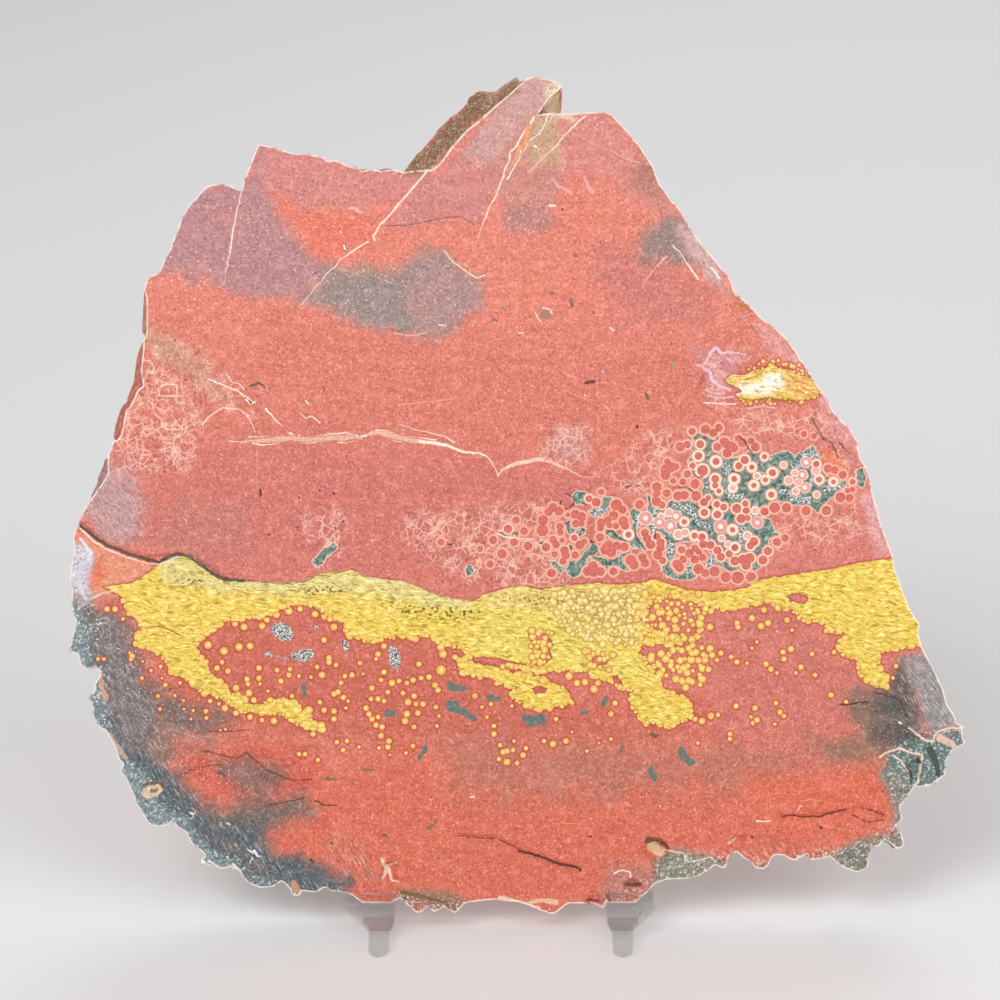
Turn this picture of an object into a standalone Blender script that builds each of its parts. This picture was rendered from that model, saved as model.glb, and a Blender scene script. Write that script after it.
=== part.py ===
"""A sawn slab of orbicular jasper that leans on a small clear display easel.

Blender 4.5, metres, +Z up. The slab's polished face looks towards -Y, the floor is z = 0, and the origin
is on the floor under the middle of the whole part.
"""

import math

import bmesh
import bpy
import numpy as np
from mathutils import Matrix, Vector

MM = 0.001

# Driving dimensions of the slab
SLAB_WIDTH = 161.55 * MM
SLAB_THICKNESS = 6.5 * MM
LEAN = math.radians(20)
SLAB_FOOT_HEIGHT = 5.5 * MM
GAP = 0.3 * MM
EDGE_RINGS = 4
EDGE_WANDER = 0.55 * MM
EDGE_ROUGHNESS = 0.22 * MM
CALM_HEIGHT = 12 * MM

# Driving dimensions of the easel, outwards from its middle plane
HOOK_INNER = 19.25 * MM
HOOK_OUTER = 25.2 * MM
FRAME_INNER = 24.8 * MM
FRAME_OUTER = 27.8 * MM
LIP_HEIGHT = 2.1 * MM
LIP_FRONT = 2.6 * MM
LIP_ROUNDING = 1.1 * MM
HOOK_DROP = 4.7 * MM
HOOK_BACK = 13.0 * MM
WING_FRONT = 2.3 * MM
WING_TOP = -0.5 * MM
WING_LOW = -4.2 * MM
SOLE_HEIGHT = 1.97 * MM
SOLE_FRONT = 1.4 * MM
TOE_MIDDLE = 21.8 * MM
TOE_WIDTH = 3.58 * MM
TOE_THICKNESS = 1.9 * MM
TOE_TIP = -10.4 * MM
TOE_TIP_LENGTH = 2.6 * MM
TOE_BACK = 6.0 * MM
POST_HEIGHT = 60 * MM
POST_THICKNESS = 3.0 * MM
FRAME_BACK = 57 * MM
FRAME_TOP = [(31.0 * MM, 58.5 * MM), (29.5 * MM, 60.0 * MM)]
RAIL_HEIGHT = 3.0 * MM
WINDOW_POST_SPAN = (0.91 * MM, 54.6 * MM)
WINDOW_BACK = 53.7 * MM
WINDOW_TOP = (30.0 * MM, 53.5 * MM)
BAR_THICKNESS = 2.6 * MM
BAR_END = 26.0 * MM
TOP_BAR_LOW = 50 * MM
TOP_BAR_HIGH = 57 * MM
FLOOR_BAR_DEPTH = 5.0 * MM
FLOOR_BAR_INSET = 1.0 * MM

# What is cut from each foot: corners in millimetres, outwards from the middle plane and up the slab's
# face, and then how far in front of the face the cut starts and ends
HOOK_CUTS = {
    "outer_corner": ([(26.4, -2.0), (23.5, -4.9), (23.5, -9.0), (26.4, -9.0)], 4 * MM, -9 * MM),
    "inner_corner": ([(19.75, -4.9), (19.1, -3.2), (18.0, -3.2), (18.0, -9.0)], 4 * MM, -4 * MM),
    "hook_window": ([(19.9, -0.3), (23.0, -0.3), (23.0, -2.5), (19.9, -2.5)], 4 * MM, 1.8 * MM),
    "side_facet": ([(25.6, 1.9), (23.5, 0.1), (23.5, -2.2), (25.6, -1.2)], 4 * MM, 1.7 * MM),
}
WING_SLANT = ([(28.6, -0.125), (23.6, -4.97), (23.6, -12.0), (28.6, -12.0)], 5 * MM, -14 * MM)

# The outline was read in photo pixels on a view square to the face, from 600 mm away
OUTLINE_LEFT_PX = 68.0
OUTLINE_RIGHT_PX = 965.5
PHOTO_MIDDLE_PX = (500.0, 500.0)
EASEL_MIDDLE_PX = 500.7
SLAB_FOOT_PX = 903.0
VIEW_DISTANCE = 600 * MM
PHOTO_STEP = SLAB_WIDTH / (OUTLINE_RIGHT_PX - OUTLINE_LEFT_PX)

# Stretches of the outline, clockwise from the left tip. A pair gives the polished face's edge first and
# then the rough edge of the back, where that shows beside it.
LEFT_TIP = [
    (68, 650), (71, 643), (73, 633), (76, 621), (73, 615), (71.5, 601), (72, 592), (69.5, 580), (71, 566),
    (74, 552), (73, 538), (75, 531), (80, 519), (83, 511), (88, 503),
]
LEFT_LOWER_RIM = (
    [(88, 503), (94, 495), (97, 490), (101, 485), (105, 478), (108, 472), (107.5, 464), (108, 454)],
    [(88, 503), (91.5, 495), (97.5, 483), (98, 478), (103, 466), (105, 459), (108, 454)],
)
LEFT_STEP = [(111, 447), (113, 441)]
LEFT_UPPER_RIM = (
    [
        (113, 441), (117, 440), (121, 435), (123, 426), (126, 410), (130, 406), (136, 394), (138, 389),
        (143, 386), (142.5, 380), (140.5, 370), (142, 360), (143, 350), (143.5, 340),
    ],
    [
        (113, 441), (115.5, 425), (120, 411), (123, 405), (127, 402), (127.5, 398), (134, 381), (134.5, 374),
        (137, 357), (141, 345), (143.5, 340),
    ],
)
LEFT_TOP_RIM = (
    [(143.5, 340), (146.5, 333), (146.5, 298), (143.5, 290)],
    [(143.5, 340), (142, 330), (143, 312), (144, 296), (143.5, 290)],
)
SHOULDER = [
    (144.5, 286), (147, 281), (149, 276.5), (157, 273.5), (160, 270), (164, 260), (170, 249), (177, 230),
    (182, 217), (190, 203.5), (196, 198), (204, 188), (210, 185), (222, 184), (229, 185), (238, 189.5),
    (242, 190), (243, 184), (247, 172), (252, 160), (258, 144),
]
TOP = [
    (266, 145.5), (275, 147.5), (290, 152.5), (298, 154), (306, 153.5), (325, 157.5), (327, 161), (336, 160),
    (349, 166), (357, 168), (362, 171), (368, 169.5), (374, 169.5), (381, 171), (389, 169.5), (394, 169.5),
    (404, 172),
]
TOP_RIND = (
    [
        (404, 172), (410, 171), (431, 170), (438, 166), (442, 161), (452, 147), (460, 138), (466, 131),
        (480, 120), (490, 111), (500, 102), (510, 93.5), (518, 86), (528, 78),
    ],
    [
        (404, 172), (408, 166), (417, 154), (422, 150), (434, 136), (438, 129.5), (447, 121.5), (450, 117.5),
        (456, 114), (463, 108), (467, 103), (469, 98), (476, 92.5), (481, 91), (490, 92), (497, 91),
        (501, 87), (513, 79), (517, 77), (519, 81), (528, 78),
    ],
)
PEAK = [(531, 77), (538, 77.5), (545, 79), (551, 79.5), (560, 84), (562, 87)]
NOTCH = (
    [
        (562, 87), (559, 90), (549, 98), (545, 104), (541, 110), (537.5, 114.5), (545, 113.5), (552, 113),
        (561, 113.5),
    ],
    [(562, 87), (562, 94), (561.8, 100), (561.4, 108), (561, 113.5)],
)
UPPER_RIGHT = [
    (572, 113.5), (592, 112), (606, 112), (611, 113.5), (615, 118), (620, 122.5), (631, 135.5), (641, 147.5),
    (650, 161.5), (654, 168), (656, 175), (661, 186), (667.5, 194), (672, 201.5), (676, 204), (683, 214),
    (690, 227), (700, 241), (703, 247), (712, 256), (724, 271), (732, 282), (734, 291), (736, 294.5),
    (740, 296), (748, 304), (757, 312.5), (759, 316), (768, 323), (778, 330), (787, 339), (798, 354),
    (800, 359), (804, 363), (811, 375), (817, 385), (824, 394), (830, 404), (832, 409), (836, 414),
    (846, 425), (851, 429), (853, 434), (858.5, 443),
]
RIGHT_SIDE = [
    (858, 447), (860, 457), (866, 467), (868, 473), (871, 486), (875, 502), (882, 527), (887, 540),
    (893, 556), (895, 570), (898, 577), (903, 592), (909, 606.5), (915, 618), (919, 622), (920, 626),
    (918.5, 630), (919, 636), (922, 647), (928, 658), (937, 676), (943, 688), (946, 700), (947, 704),
    (953, 713), (956, 719),
]
CRYSTAL_LOBE = [
    (955.5, 722), (960, 725), (964, 727), (962, 731), (963, 739), (965.5, 742), (962, 746), (951.5, 751.5),
    (949, 756), (945.5, 762), (947, 768), (945, 771), (946, 775), (941, 778), (938, 782), (930, 787),
    (918, 787), (913.5, 788), (908, 797), (901, 805), (900.5, 809), (902.5, 818), (902, 821), (896, 825),
    (902, 834), (904.5, 845), (901, 848), (896, 849), (891, 844), (885, 840), (880, 845.5), (875, 846.5),
    (871, 850), (869.5, 855), (868, 867.5), (860, 872), (855, 872), (846, 868.5),
]
BOTTOM_RIGHT = [
    (840, 865.5), (835, 861.5), (830, 856.5), (821, 859), (811, 860), (809, 857), (807, 854), (799, 858),
    (796, 860.5), (791, 860), (784, 855.5), (775, 855), (772, 858), (768, 866), (764, 869), (756, 868.5),
    (753, 865), (751, 861), (746, 860), (737, 852), (730, 855), (728, 858), (727.5, 863), (726, 867),
    (723, 868.5), (715, 865), (709, 870), (697, 877), (685, 879), (667, 879.5), (655, 884), (652, 887),
    (648, 892), (640, 898), (636, 902.8),
]
BOTTOM_MIDDLE = [
    (605.8, 902.8), (605.3, 906), (603, 908), (596, 905), (583, 903.5), (569, 903.5), (566, 905),
    (558, 911.5), (554, 914), (550, 914), (546, 912), (541, 911), (530, 906), (518, 902), (503, 901),
    (497, 899.5), (480, 901), (466, 903), (462, 906), (459, 910), (455, 913), (449, 910), (443, 907),
    (439, 910), (434, 912), (427, 907), (422, 912), (418, 913), (414, 911), (403, 901), (400, 898),
    (396, 900), (392, 902.8),
]
BOTTOM_LEFT = [
    (363, 902.8), (358, 900), (353, 896), (348, 893.5), (339, 891.5), (331, 891), (327, 888), (323, 888),
    (319, 891), (314, 892.5), (302, 891), (300, 895), (297, 896.5), (294, 896), (291, 893), (290, 889),
    (284, 883), (281, 881.5), (273, 887), (260, 888), (248, 883), (241, 875), (240, 871), (237, 871.5),
    (230, 866.5), (226, 868.5), (221, 869), (217, 867), (201, 864), (201, 860), (205, 856), (203, 852.5),
]
LOWER_LEFT = [
    (197, 848.5), (190, 842), (187, 834), (184, 831), (177, 827), (172, 821.5), (167, 825.5), (157, 826.5),
    (153, 826), (147, 822), (141, 811), (136, 804), (135, 799), (126, 779), (120, 772), (123, 764),
    (119, 760), (114, 745), (108, 735), (106, 730.5), (103, 730), (96.5, 724), (92.5, 714), (92.5, 708),
    (90, 700), (87, 698), (93, 693), (95, 689), (94.5, 684), (99.5, 676), (101, 672), (98, 669), (95, 667),
    (87, 670), (80.5, 665), (78, 655), (75, 653), (71, 652),
]
STRETCHES = [
    LEFT_TIP, LEFT_LOWER_RIM, LEFT_STEP, LEFT_UPPER_RIM, LEFT_TOP_RIM, SHOULDER, TOP, TOP_RIND, PEAK, NOTCH,
    UPPER_RIGHT, RIGHT_SIDE, CRYSTAL_LOBE, BOTTOM_RIGHT, BOTTOM_MIDDLE, BOTTOM_LEFT, LOWER_LEFT,
]

# Open pockets in the polished face: middle in photo pixels, half width, half height and depth in metres
POCKETS = {
    "cream_pocket_left": ((391, 869), 1.5 * MM, 1.7 * MM, 1.2 * MM),
    "cream_pocket_right": ((656, 852), 1.8 * MM, 2.3 * MM, 1.3 * MM),
    "cream_pocket_small": ((739, 842), 1.0 * MM, 1.2 * MM, 0.9 * MM),
    "brown_pocket": ((633, 886), 1.4 * MM, 0.8 * MM, 1.2 * MM),
    "brown_slit": ((592, 900), 1.3 * MM, 0.5 * MM, 1.0 * MM),
    "lobe_pocket": ((914, 768), 0.8 * MM, 1.8 * MM, 1.2 * MM),
}


def clear_scene():
    for leftover in list(bpy.data.objects):
        bpy.data.objects.remove(leftover, do_unlink=True)


def material(name, colour, roughness, alpha=1.0):
    """A plain material of one colour."""
    made = bpy.data.materials.new(name)
    made.use_nodes = True
    shader = made.node_tree.nodes["Principled BSDF"]
    shader.inputs["Base Color"].default_value = (*colour, 1.0)
    shader.inputs["Roughness"].default_value = roughness
    shader.inputs["Alpha"].default_value = alpha
    return made


def object_from(form, name, parent):
    """The shape in a bmesh as an object, with every face turned outwards."""
    bmesh.ops.recalc_face_normals(form, faces=form.faces)
    mesh = bpy.data.meshes.new(name)
    form.to_mesh(mesh)
    form.free()
    made = bpy.data.objects.new(name, mesh)
    made.parent = parent
    bpy.context.scene.collection.objects.link(made)
    return made


def hide_as_tool(tool):
    """A cutter, or a shape that a Boolean adds, isn't a piece by itself."""
    tool.hide_render = True
    tool.display_type = "WIRE"


def combine(body, tool, operation):
    """Adds a closed tool to the body, or cuts it away."""
    hide_as_tool(tool)
    step = body.modifiers.new(tool.name, "BOOLEAN")
    step.operation = operation
    step.solver = "EXACT"
    step.object = tool


def prism(name, start_loop, end_loop, parent):
    """The closed solid between two loops with the same number of corners."""
    form = bmesh.new()
    starts = [form.verts.new(corner) for corner in start_loop]
    ends = [form.verts.new(corner) for corner in end_loop]
    form.faces.new(starts)
    form.faces.new(list(reversed(ends)))
    for i in range(len(starts)):
        form.faces.new((starts[i - 1], starts[i], ends[i], ends[i - 1]))
    return object_from(form, name, parent)


def lengths_along(points):
    """How far along its line each point lies, from 0 at the first to 1 at the last."""
    steps = np.hypot(*np.diff(points, axis=0).T)
    along = np.concatenate([[0.0], np.cumsum(steps)])
    return along / along[-1]


def matched(front, back):
    """Both edges of a stretch with the same number of points, each keeping all of its own corners."""
    front, back = np.array(front, float), np.array(back, float)
    front_along, back_along = lengths_along(front), lengths_along(back)
    shared = np.unique(np.round(np.concatenate([front_along, back_along]), 4))
    # Points of the two edges that lie almost together become one
    shared = shared[np.concatenate([[True], np.diff(shared) > 0.004])]
    shared[-1] = 1.0
    rows = [
        np.column_stack([np.interp(shared, along, points[:, axis]) for axis in (0, 1)])
        for points, along in ((front, front_along), (back, back_along))
    ]
    return rows[0], rows[1]


def outline_edges():
    """The whole outline in photo pixels, once for the polished face and once for the back."""
    fronts, backs = [], []
    for stretch in STRETCHES:
        if isinstance(stretch, tuple):
            front, back = matched(*stretch)
            # The first point is the last one of the stretch before
            front, back = front[1:], back[1:]
        else:
            front = back = np.array(stretch, float)
        fronts.append(front)
        backs.append(back)
    return np.concatenate(fronts), np.concatenate(backs)


def on_face(points_px, depth):
    """Photo pixels as metres across and up the slab, for points at a depth behind the polished face."""
    scale = PHOTO_STEP * (1 + depth / VIEW_DISTANCE)
    across = (points_px[:, 0] - PHOTO_MIDDLE_PX[0]) * scale
    up = (PHOTO_MIDDLE_PX[1] - points_px[:, 1]) * scale
    across_shift = (PHOTO_MIDDLE_PX[0] - EASEL_MIDDLE_PX) * PHOTO_STEP
    up_shift = (SLAB_FOOT_PX - PHOTO_MIDDLE_PX[1]) * PHOTO_STEP
    return np.column_stack([across + across_shift, up + up_shift])


def roughened(points, share):
    """An edge ring moved by slow and by quick waves. The share of the thickness picks the waves' phase."""
    across, up = points.T / MM
    phase = 2.6 * share
    slow = np.column_stack([
        np.sin(0.13 * across + 0.09 * up + phase) + 0.5 * np.sin(0.27 * up - 2 * phase),
        np.sin(0.11 * across - 0.14 * up - phase) + 0.5 * np.sin(0.31 * across + phase),
    ])
    quick = np.column_stack([
        np.sin(1.15 * up + 0.4 * across + 7 * phase),
        np.sin(1.05 * across - 0.5 * up + 5 * phase),
    ])
    calm = np.clip(up * MM / CALM_HEIGHT, 0, 1)[:, None]
    return points + calm * share * (EDGE_WANDER * slow + EDGE_ROUGHNESS * quick)


def edge_rings():
    """The rings of the slab's edge from the polished face to the back, as places in the slab's own axes."""
    front_px, back_px = outline_edges()
    front = on_face(front_px, 0.0)
    back = on_face(back_px, SLAB_THICKNESS)
    shows_behind = np.any(front_px != back_px, axis=1)
    rings = []
    for share in np.linspace(0, 1, EDGE_RINGS):
        ring = front + (back - front) * share
        # Where the back shows beside the face its edge stays as read
        ring = np.where(shows_behind[:, None], ring, roughened(front, share))
        depth = np.full((len(ring), 1), -share * SLAB_THICKNESS)
        rings.append(np.hstack([ring, depth]))
    return rings


def pocket_cutter(name, middle_px, half_width, half_height, depth, slab):
    """A faceted bowl that opens a pocket in the polished face."""
    form = bmesh.new()
    bmesh.ops.create_icosphere(form, subdivisions=1, radius=1.0)
    size = Matrix.Diagonal((half_width, half_height, depth, 1.0))
    bmesh.ops.transform(form, matrix=size, verts=form.verts)
    cutter = object_from(form, name, slab)
    across, up = on_face(np.array([middle_px], float), 0.0)[0]
    # The middle lies just in front of the face, so that no facet corner falls on it
    cutter.location = (across, up, 0.07 * depth)
    cutter.rotation_euler = (0.0, 0.0, across / MM)
    return cutter


def make_slab(root):
    """The slab, flat in its own axes with its polished face up, then stood on edge and leaned back."""
    form = bmesh.new()
    rings = [[form.verts.new(corner) for corner in ring] for ring in edge_rings()]
    for nearer, further in zip(rings, rings[1:]):
        for i in range(len(nearer)):
            form.faces.new((nearer[i - 1], nearer[i], further[i], further[i - 1]))
    caps = [form.faces.new(rings[0]), form.faces.new(list(reversed(rings[-1])))]
    bmesh.ops.triangulate(form, faces=caps)
    slab = object_from(form, "jasper_slab", root)
    slab.location = (0.0, 0.0, SLAB_FOOT_HEIGHT)
    slab.rotation_euler = (math.radians(90) - LEAN, 0.0, 0.0)
    slab.data.materials.append(material("jasper", (0.62, 0.28, 0.2), 0.35))
    for name, (middle_px, half_width, half_height, depth) in POCKETS.items():
        combine(slab, pocket_cutter(name, middle_px, half_width, half_height, depth, slab), "DIFFERENCE")
    return slab


def leaning(up, out):
    """World (y, z) of a place up the slab's face and out from it, on the easel's side profile."""
    return Vector((
        up * math.sin(LEAN) - out * math.cos(LEAN),
        SLAB_FOOT_HEIGHT + up * math.cos(LEAN) + out * math.sin(LEAN),
    ))


def side_prism(name, profile, near_x, far_x, root):
    """A (y, z) profile pushed from one x to another."""
    start = [(near_x, y, z) for y, z in profile]
    end = [(far_x, y, z) for y, z in profile]
    return prism(name, start, end, root)


def face_prism(name, side, corners, front, back, root):
    """A shape drawn in millimetres outwards and up the slab's face, pushed along the face's normal."""
    loops = [
        [(side * outwards * MM, *leaning(up * MM, out)) for outwards, up in corners]
        for out in (front, back)
    ]
    return prism(name, *loops, root)


def hook_profile():
    """Front face, rounded lip, ledge under the slab, and the sole that stands on the floor."""
    lip_middle = (LIP_FRONT + GAP) / 2
    half_lip = (LIP_FRONT - GAP) / 2
    rounding = [
        leaning(
            LIP_HEIGHT - LIP_ROUNDING + LIP_ROUNDING * math.sin(angle),
            lip_middle + half_lip * math.cos(angle),
        )
        for angle in np.radians([0, 30, 60, 90, 120, 150, 180])
    ]
    ledge = [leaning(-GAP, GAP), leaning(-GAP, -HOOK_BACK)]
    sole = [
        Vector((ledge[-1].x, 0.0)),
        Vector((SOLE_FRONT, 0.0)),
        Vector((SOLE_FRONT, SOLE_HEIGHT)),
        leaning(-HOOK_DROP, LIP_FRONT),
    ]
    return rounding + ledge + sole


def add_hook(easel, side, root):
    """The block that the slab stands in, with its lower corners cut and its front recessed."""
    label = "left" if side < 0 else "right"
    inner, outer = side * HOOK_INNER, side * HOOK_OUTER
    hook = side_prism(f"hook_{label}", hook_profile(), inner, outer, root)
    for cut, (corners, front, back) in HOOK_CUTS.items():
        combine(hook, face_prism(f"{cut}_{label}", side, corners, front, back, root), "DIFFERENCE")
    combine(easel, hook, "UNION")


def add_toe(easel, side, root):
    """The flat toe with a round tip that runs forward along the floor."""
    label = "left" if side < 0 else "right"
    half = TOE_WIDTH / 2
    tip = [
        (side * TOE_MIDDLE + half * math.cos(angle), TOE_TIP + TOE_TIP_LENGTH * (1 + math.sin(angle)))
        for angle in np.linspace(math.pi, 2 * math.pi, 13)
    ]
    plan = [(side * TOE_MIDDLE - half, TOE_BACK), *tip, (side * TOE_MIDDLE + half, TOE_BACK)]
    low = [(x, y, 0.0) for x, y in plan]
    high = [(x, y, TOE_THICKNESS) for x, y in plan]
    combine(easel, prism(f"toe_{label}", low, high, root), "UNION")


def frame_profile():
    """The side frame's outer edge: wing, floor rail, rear leg and leaning post."""
    return [
        leaning(WING_TOP, WING_FRONT),
        leaning(WING_LOW, WING_FRONT),
        Vector((SOLE_FRONT, 0.0)),
        Vector((FRAME_BACK, 0.0)),
        Vector((FRAME_BACK, RAIL_HEIGHT)),
        *[Vector(corner) for corner in FRAME_TOP],
        leaning(POST_HEIGHT, -SLAB_THICKNESS - GAP),
        leaning(WING_TOP, -SLAB_THICKNESS - GAP),
    ]


def window_profile():
    """The open triangle between post, rear leg and floor rail."""
    post_back = -SLAB_THICKNESS - GAP - POST_THICKNESS
    low, high = [leaning(up, post_back) for up in WINDOW_POST_SPAN]
    return [
        Vector((low.x, RAIL_HEIGHT)),
        Vector((WINDOW_BACK, RAIL_HEIGHT)),
        Vector(WINDOW_TOP),
        Vector((high.x, WINDOW_TOP[1])),
    ]


def add_side_frame(easel, side, root):
    """One side frame, with its open triangle and the slanted lower edge of its wing."""
    label = "left" if side < 0 else "right"
    frame = side_prism(f"frame_{label}", frame_profile(), side * FRAME_INNER, side * FRAME_OUTER, root)
    window = side_prism(f"window_{label}", window_profile(), side * HOOK_INNER, side * 2 * HOOK_INNER, root)
    combine(frame, window, "DIFFERENCE")
    combine(frame, face_prism(f"slant_{label}", side, *WING_SLANT, root), "DIFFERENCE")
    combine(easel, frame, "UNION")


def floor_bar_profile():
    """The rear cross bar that lies on the floor."""
    back = FRAME_BACK - FLOOR_BAR_INSET
    front = back - FLOOR_BAR_DEPTH
    return [(front, 0.0), (back, 0.0), (back, BAR_THICKNESS), (front, BAR_THICKNESS)]


def top_bar_profile():
    """The upper cross bar, parallel to the slab and just inside the posts."""
    front = -SLAB_THICKNESS - 2 * GAP
    back = front - BAR_THICKNESS + GAP
    return [
        leaning(TOP_BAR_LOW, front),
        leaning(TOP_BAR_HIGH, front),
        leaning(TOP_BAR_HIGH, back),
        leaning(TOP_BAR_LOW, back),
    ]


def make_easel(root):
    """The easel grows from its rear cross bar: top bar, hooks, toes and side frames are joined to it."""
    easel = side_prism("display_easel", floor_bar_profile(), -BAR_END, BAR_END, root)
    combine(easel, side_prism("top_bar", top_bar_profile(), -BAR_END, BAR_END, root), "UNION")
    for side in (-1, 1):
        add_side_frame(easel, side, root)
        add_hook(easel, side, root)
        add_toe(easel, side, root)
    easel.data.materials.append(material("clear plastic", (0.85, 0.9, 0.92), 0.08, alpha=0.35))
    return easel


def middle_of(pieces):
    """The middle of the pieces' box, seen from above."""
    graph = bpy.context.evaluated_depsgraph_get()
    corners = [
        piece.matrix_world @ Vector(corner)
        for piece in pieces
        for corner in piece.evaluated_get(graph).bound_box
    ]
    return [(min(c[axis] for c in corners) + max(c[axis] for c in corners)) / 2 for axis in (0, 1)]


def main():
    clear_scene()
    root = bpy.data.objects.new("floor_middle", None)
    bpy.context.scene.collection.objects.link(root)
    pieces = [make_slab(root), make_easel(root)]
    bpy.context.view_layer.update()
    across, along = middle_of(pieces)
    root.location = (-across, -along, 0.0)


main()
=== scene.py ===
# %% [markdown]
# # An orbicular jasper slab on a clear plastic easel
# The part is a sawn and polished slice of jasper, a fine-grained quartz rock. Iron makes it red, and while it
# grew, thousands of tiny balls formed in it: cut through, they show as rings and dots. This lesson loads the
# solid model, dresses it in stone, and lights it.

import bmesh
import bpy
import numpy as np
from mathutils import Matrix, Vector
from mathutils.geometry import delaunay_2d_cdt


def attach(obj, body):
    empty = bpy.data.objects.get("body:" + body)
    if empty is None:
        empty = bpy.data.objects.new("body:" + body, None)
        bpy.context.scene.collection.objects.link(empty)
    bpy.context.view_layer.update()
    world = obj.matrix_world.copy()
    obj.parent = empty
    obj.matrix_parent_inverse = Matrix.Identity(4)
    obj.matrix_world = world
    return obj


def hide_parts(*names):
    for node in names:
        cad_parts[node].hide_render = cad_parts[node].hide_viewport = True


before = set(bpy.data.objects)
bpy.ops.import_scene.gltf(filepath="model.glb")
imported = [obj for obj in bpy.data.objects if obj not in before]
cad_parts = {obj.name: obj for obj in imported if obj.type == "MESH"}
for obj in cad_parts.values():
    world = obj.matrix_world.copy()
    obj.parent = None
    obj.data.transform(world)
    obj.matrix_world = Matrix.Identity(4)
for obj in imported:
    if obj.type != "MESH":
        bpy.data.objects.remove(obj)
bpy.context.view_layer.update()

# %% [markdown]
# ## Places on the slab
# The slab leans back on its easel, so its face has axes of its own: across, up along the face, and out of it.
# Every marking is read from the picture in pixels, and one step of the picture is 0.18 mm of stone. A few
# named numbers and two short functions turn such places into places in the room.

# %% The slab's own axes
MM = 0.001
PICTURE_STEP = 0.18
EASEL_MIDDLE, SLAB_FOOT = 500.7, 903.0
THICKNESS = 6.5
LEAN = np.radians(20)
FOOT_AT = np.array([-2.688, -23.421, 5.5])  # where the foot of the slab's face stands, in millimetres
ACROSS = np.array([1.0, 0.0, 0.0])
UP = np.array([0.0, np.sin(LEAN), np.cos(LEAN)])
OUT = np.array([0.0, -np.cos(LEAN), np.sin(LEAN)])


def on_slab(numbers):
    """Picture places x, y, x, y ... as rows of millimetres across and up the slab's face."""
    picture = np.asarray(numbers, float).reshape(-1, 2)
    return np.column_stack([picture[:, 0] - EASEL_MIDDLE, SLAB_FOOT - picture[:, 1]]) * PICTURE_STEP


def in_room(slab_places):
    """Slab places in millimetres as metres in the room: the foot, plus each axis times its share."""
    axes = np.vstack([ACROSS, UP, OUT])
    return (FOOT_AT + slab_places @ axes) * MM


def in_slab(room_places):
    """Room places in metres as millimetres across, up and out of the slab: the dot product with each axis."""
    return (np.asarray(room_places) / MM - FOOT_AT) @ np.vstack([ACROSS, UP, OUT]).T


print("the slab's foot stands at", in_room(np.zeros((1, 3)))[0].round(4))

# %% [markdown]
# ## The camera
# The picture was taken square to the leaning face, from about 60 cm. A camera on the line that leaves the
# middle of the face at a right angle sees the slab without any keystone. Making it first means that
# every later step can be checked against the same view.

# %% Camera
CAMERA_DISTANCE, SENSOR_WIDTH, PICTURE_SIZE = 600.0, 36.0, 1000
middle = on_slab([500, 500])[0]
camera = bpy.data.objects.new("camera", bpy.data.cameras.new("camera"))
camera.location = in_room(np.array([[*middle, CAMERA_DISTANCE]]))[0]
camera.rotation_euler = Vector(-OUT).to_track_quat("-Z", "Y").to_euler()
camera.data.sensor_width = SENSOR_WIDTH
camera.data.lens = SENSOR_WIDTH * CAMERA_DISTANCE / (PICTURE_SIZE * PICTURE_STEP)
bpy.context.scene.collection.objects.link(camera)
bpy.context.scene.camera = camera
print("camera at", [round(value, 3) for value in camera.location], "lens", round(camera.data.lens, 1), "mm")

# %% [markdown]
# ## Shader maths as plain sums
# A material is a tree of nodes. Joining Math nodes by hand is slow to read, so one small class wraps a
# socket and lets an expression such as `1 - mask` add the node that works it out.

# %% A socket that can be added and multiplied


class Wire:
    """One output socket of a material's nodes. Sums and products on it add Math nodes."""

    def __init__(self, tree, socket):
        self.tree, self.socket = tree, socket

    def node(self, kind, settings=None, inputs=None, output=0):
        """Adds any node: its settings first, then the value or link of each socket. Returns one output."""
        made = self.tree.nodes.new(kind)
        for name, value in (settings or {}).items():
            if name == "stops":
                ramp = made.color_ramp
                while len(ramp.elements) < len(value):
                    ramp.elements.new(0.5)
                for stop, (place, colour) in zip(ramp.elements, value):
                    stop.position, stop.color = place, (*colour, 1.0)
            else:
                setattr(made, name, value)
        for name, value in (inputs or {}).items():
            if isinstance(value, Wire):
                self.tree.links.new(value.socket, made.inputs[name])
            else:
                made.inputs[name].default_value = value
        return Wire(self.tree, made.outputs[output])

    def maths(self, operation, *values, clamp=False):
        """A Math node on this wire and the other values."""
        inputs = dict(enumerate((self, *values)))
        return self.node("ShaderNodeMath", {"operation": operation, "use_clamp": clamp}, inputs)

    def __add__(self, other):
        return self.maths("ADD", other)

    def __sub__(self, other):
        return self.maths("SUBTRACT", other)

    def __rsub__(self, other):
        return self.node("ShaderNodeMath", {"operation": "SUBTRACT"}, {0: other, 1: self})

    def __mul__(self, other):
        return self.maths("MULTIPLY", other)

    __radd__, __rmul__ = __add__, __mul__

    def most(self, other):
        return self.maths("MAXIMUM", other)

    def rises(self, start, end):
        """0 before start and 1 after end, with a smooth step between. Start may be the larger one."""
        settings = {"interpolation_type": "SMOOTHSTEP"}
        return self.node("ShaderNodeMapRange", settings, {"Value": self, "From Min": start, "From Max": end})

    def vector(self, operation, *values, output=0):
        """A Vector Math node on this wire and the other values."""
        inputs = dict(enumerate((self, *values)))
        return self.node("ShaderNodeVectorMath", {"operation": operation}, inputs, output)

    def painted(self, colour, mask):
        """This colour with another one laid over it as far as the mask says."""
        if not isinstance(colour, Wire):
            colour = (*colour, 1.0)
        return self.node("ShaderNodeMix", {"data_type": "RGBA"}, {0: mask, 6: self, 7: colour}, 2)


print("a wire has its own", [name for name in vars(Wire) if not name.startswith("__")])

# %% Colours and new materials


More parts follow.
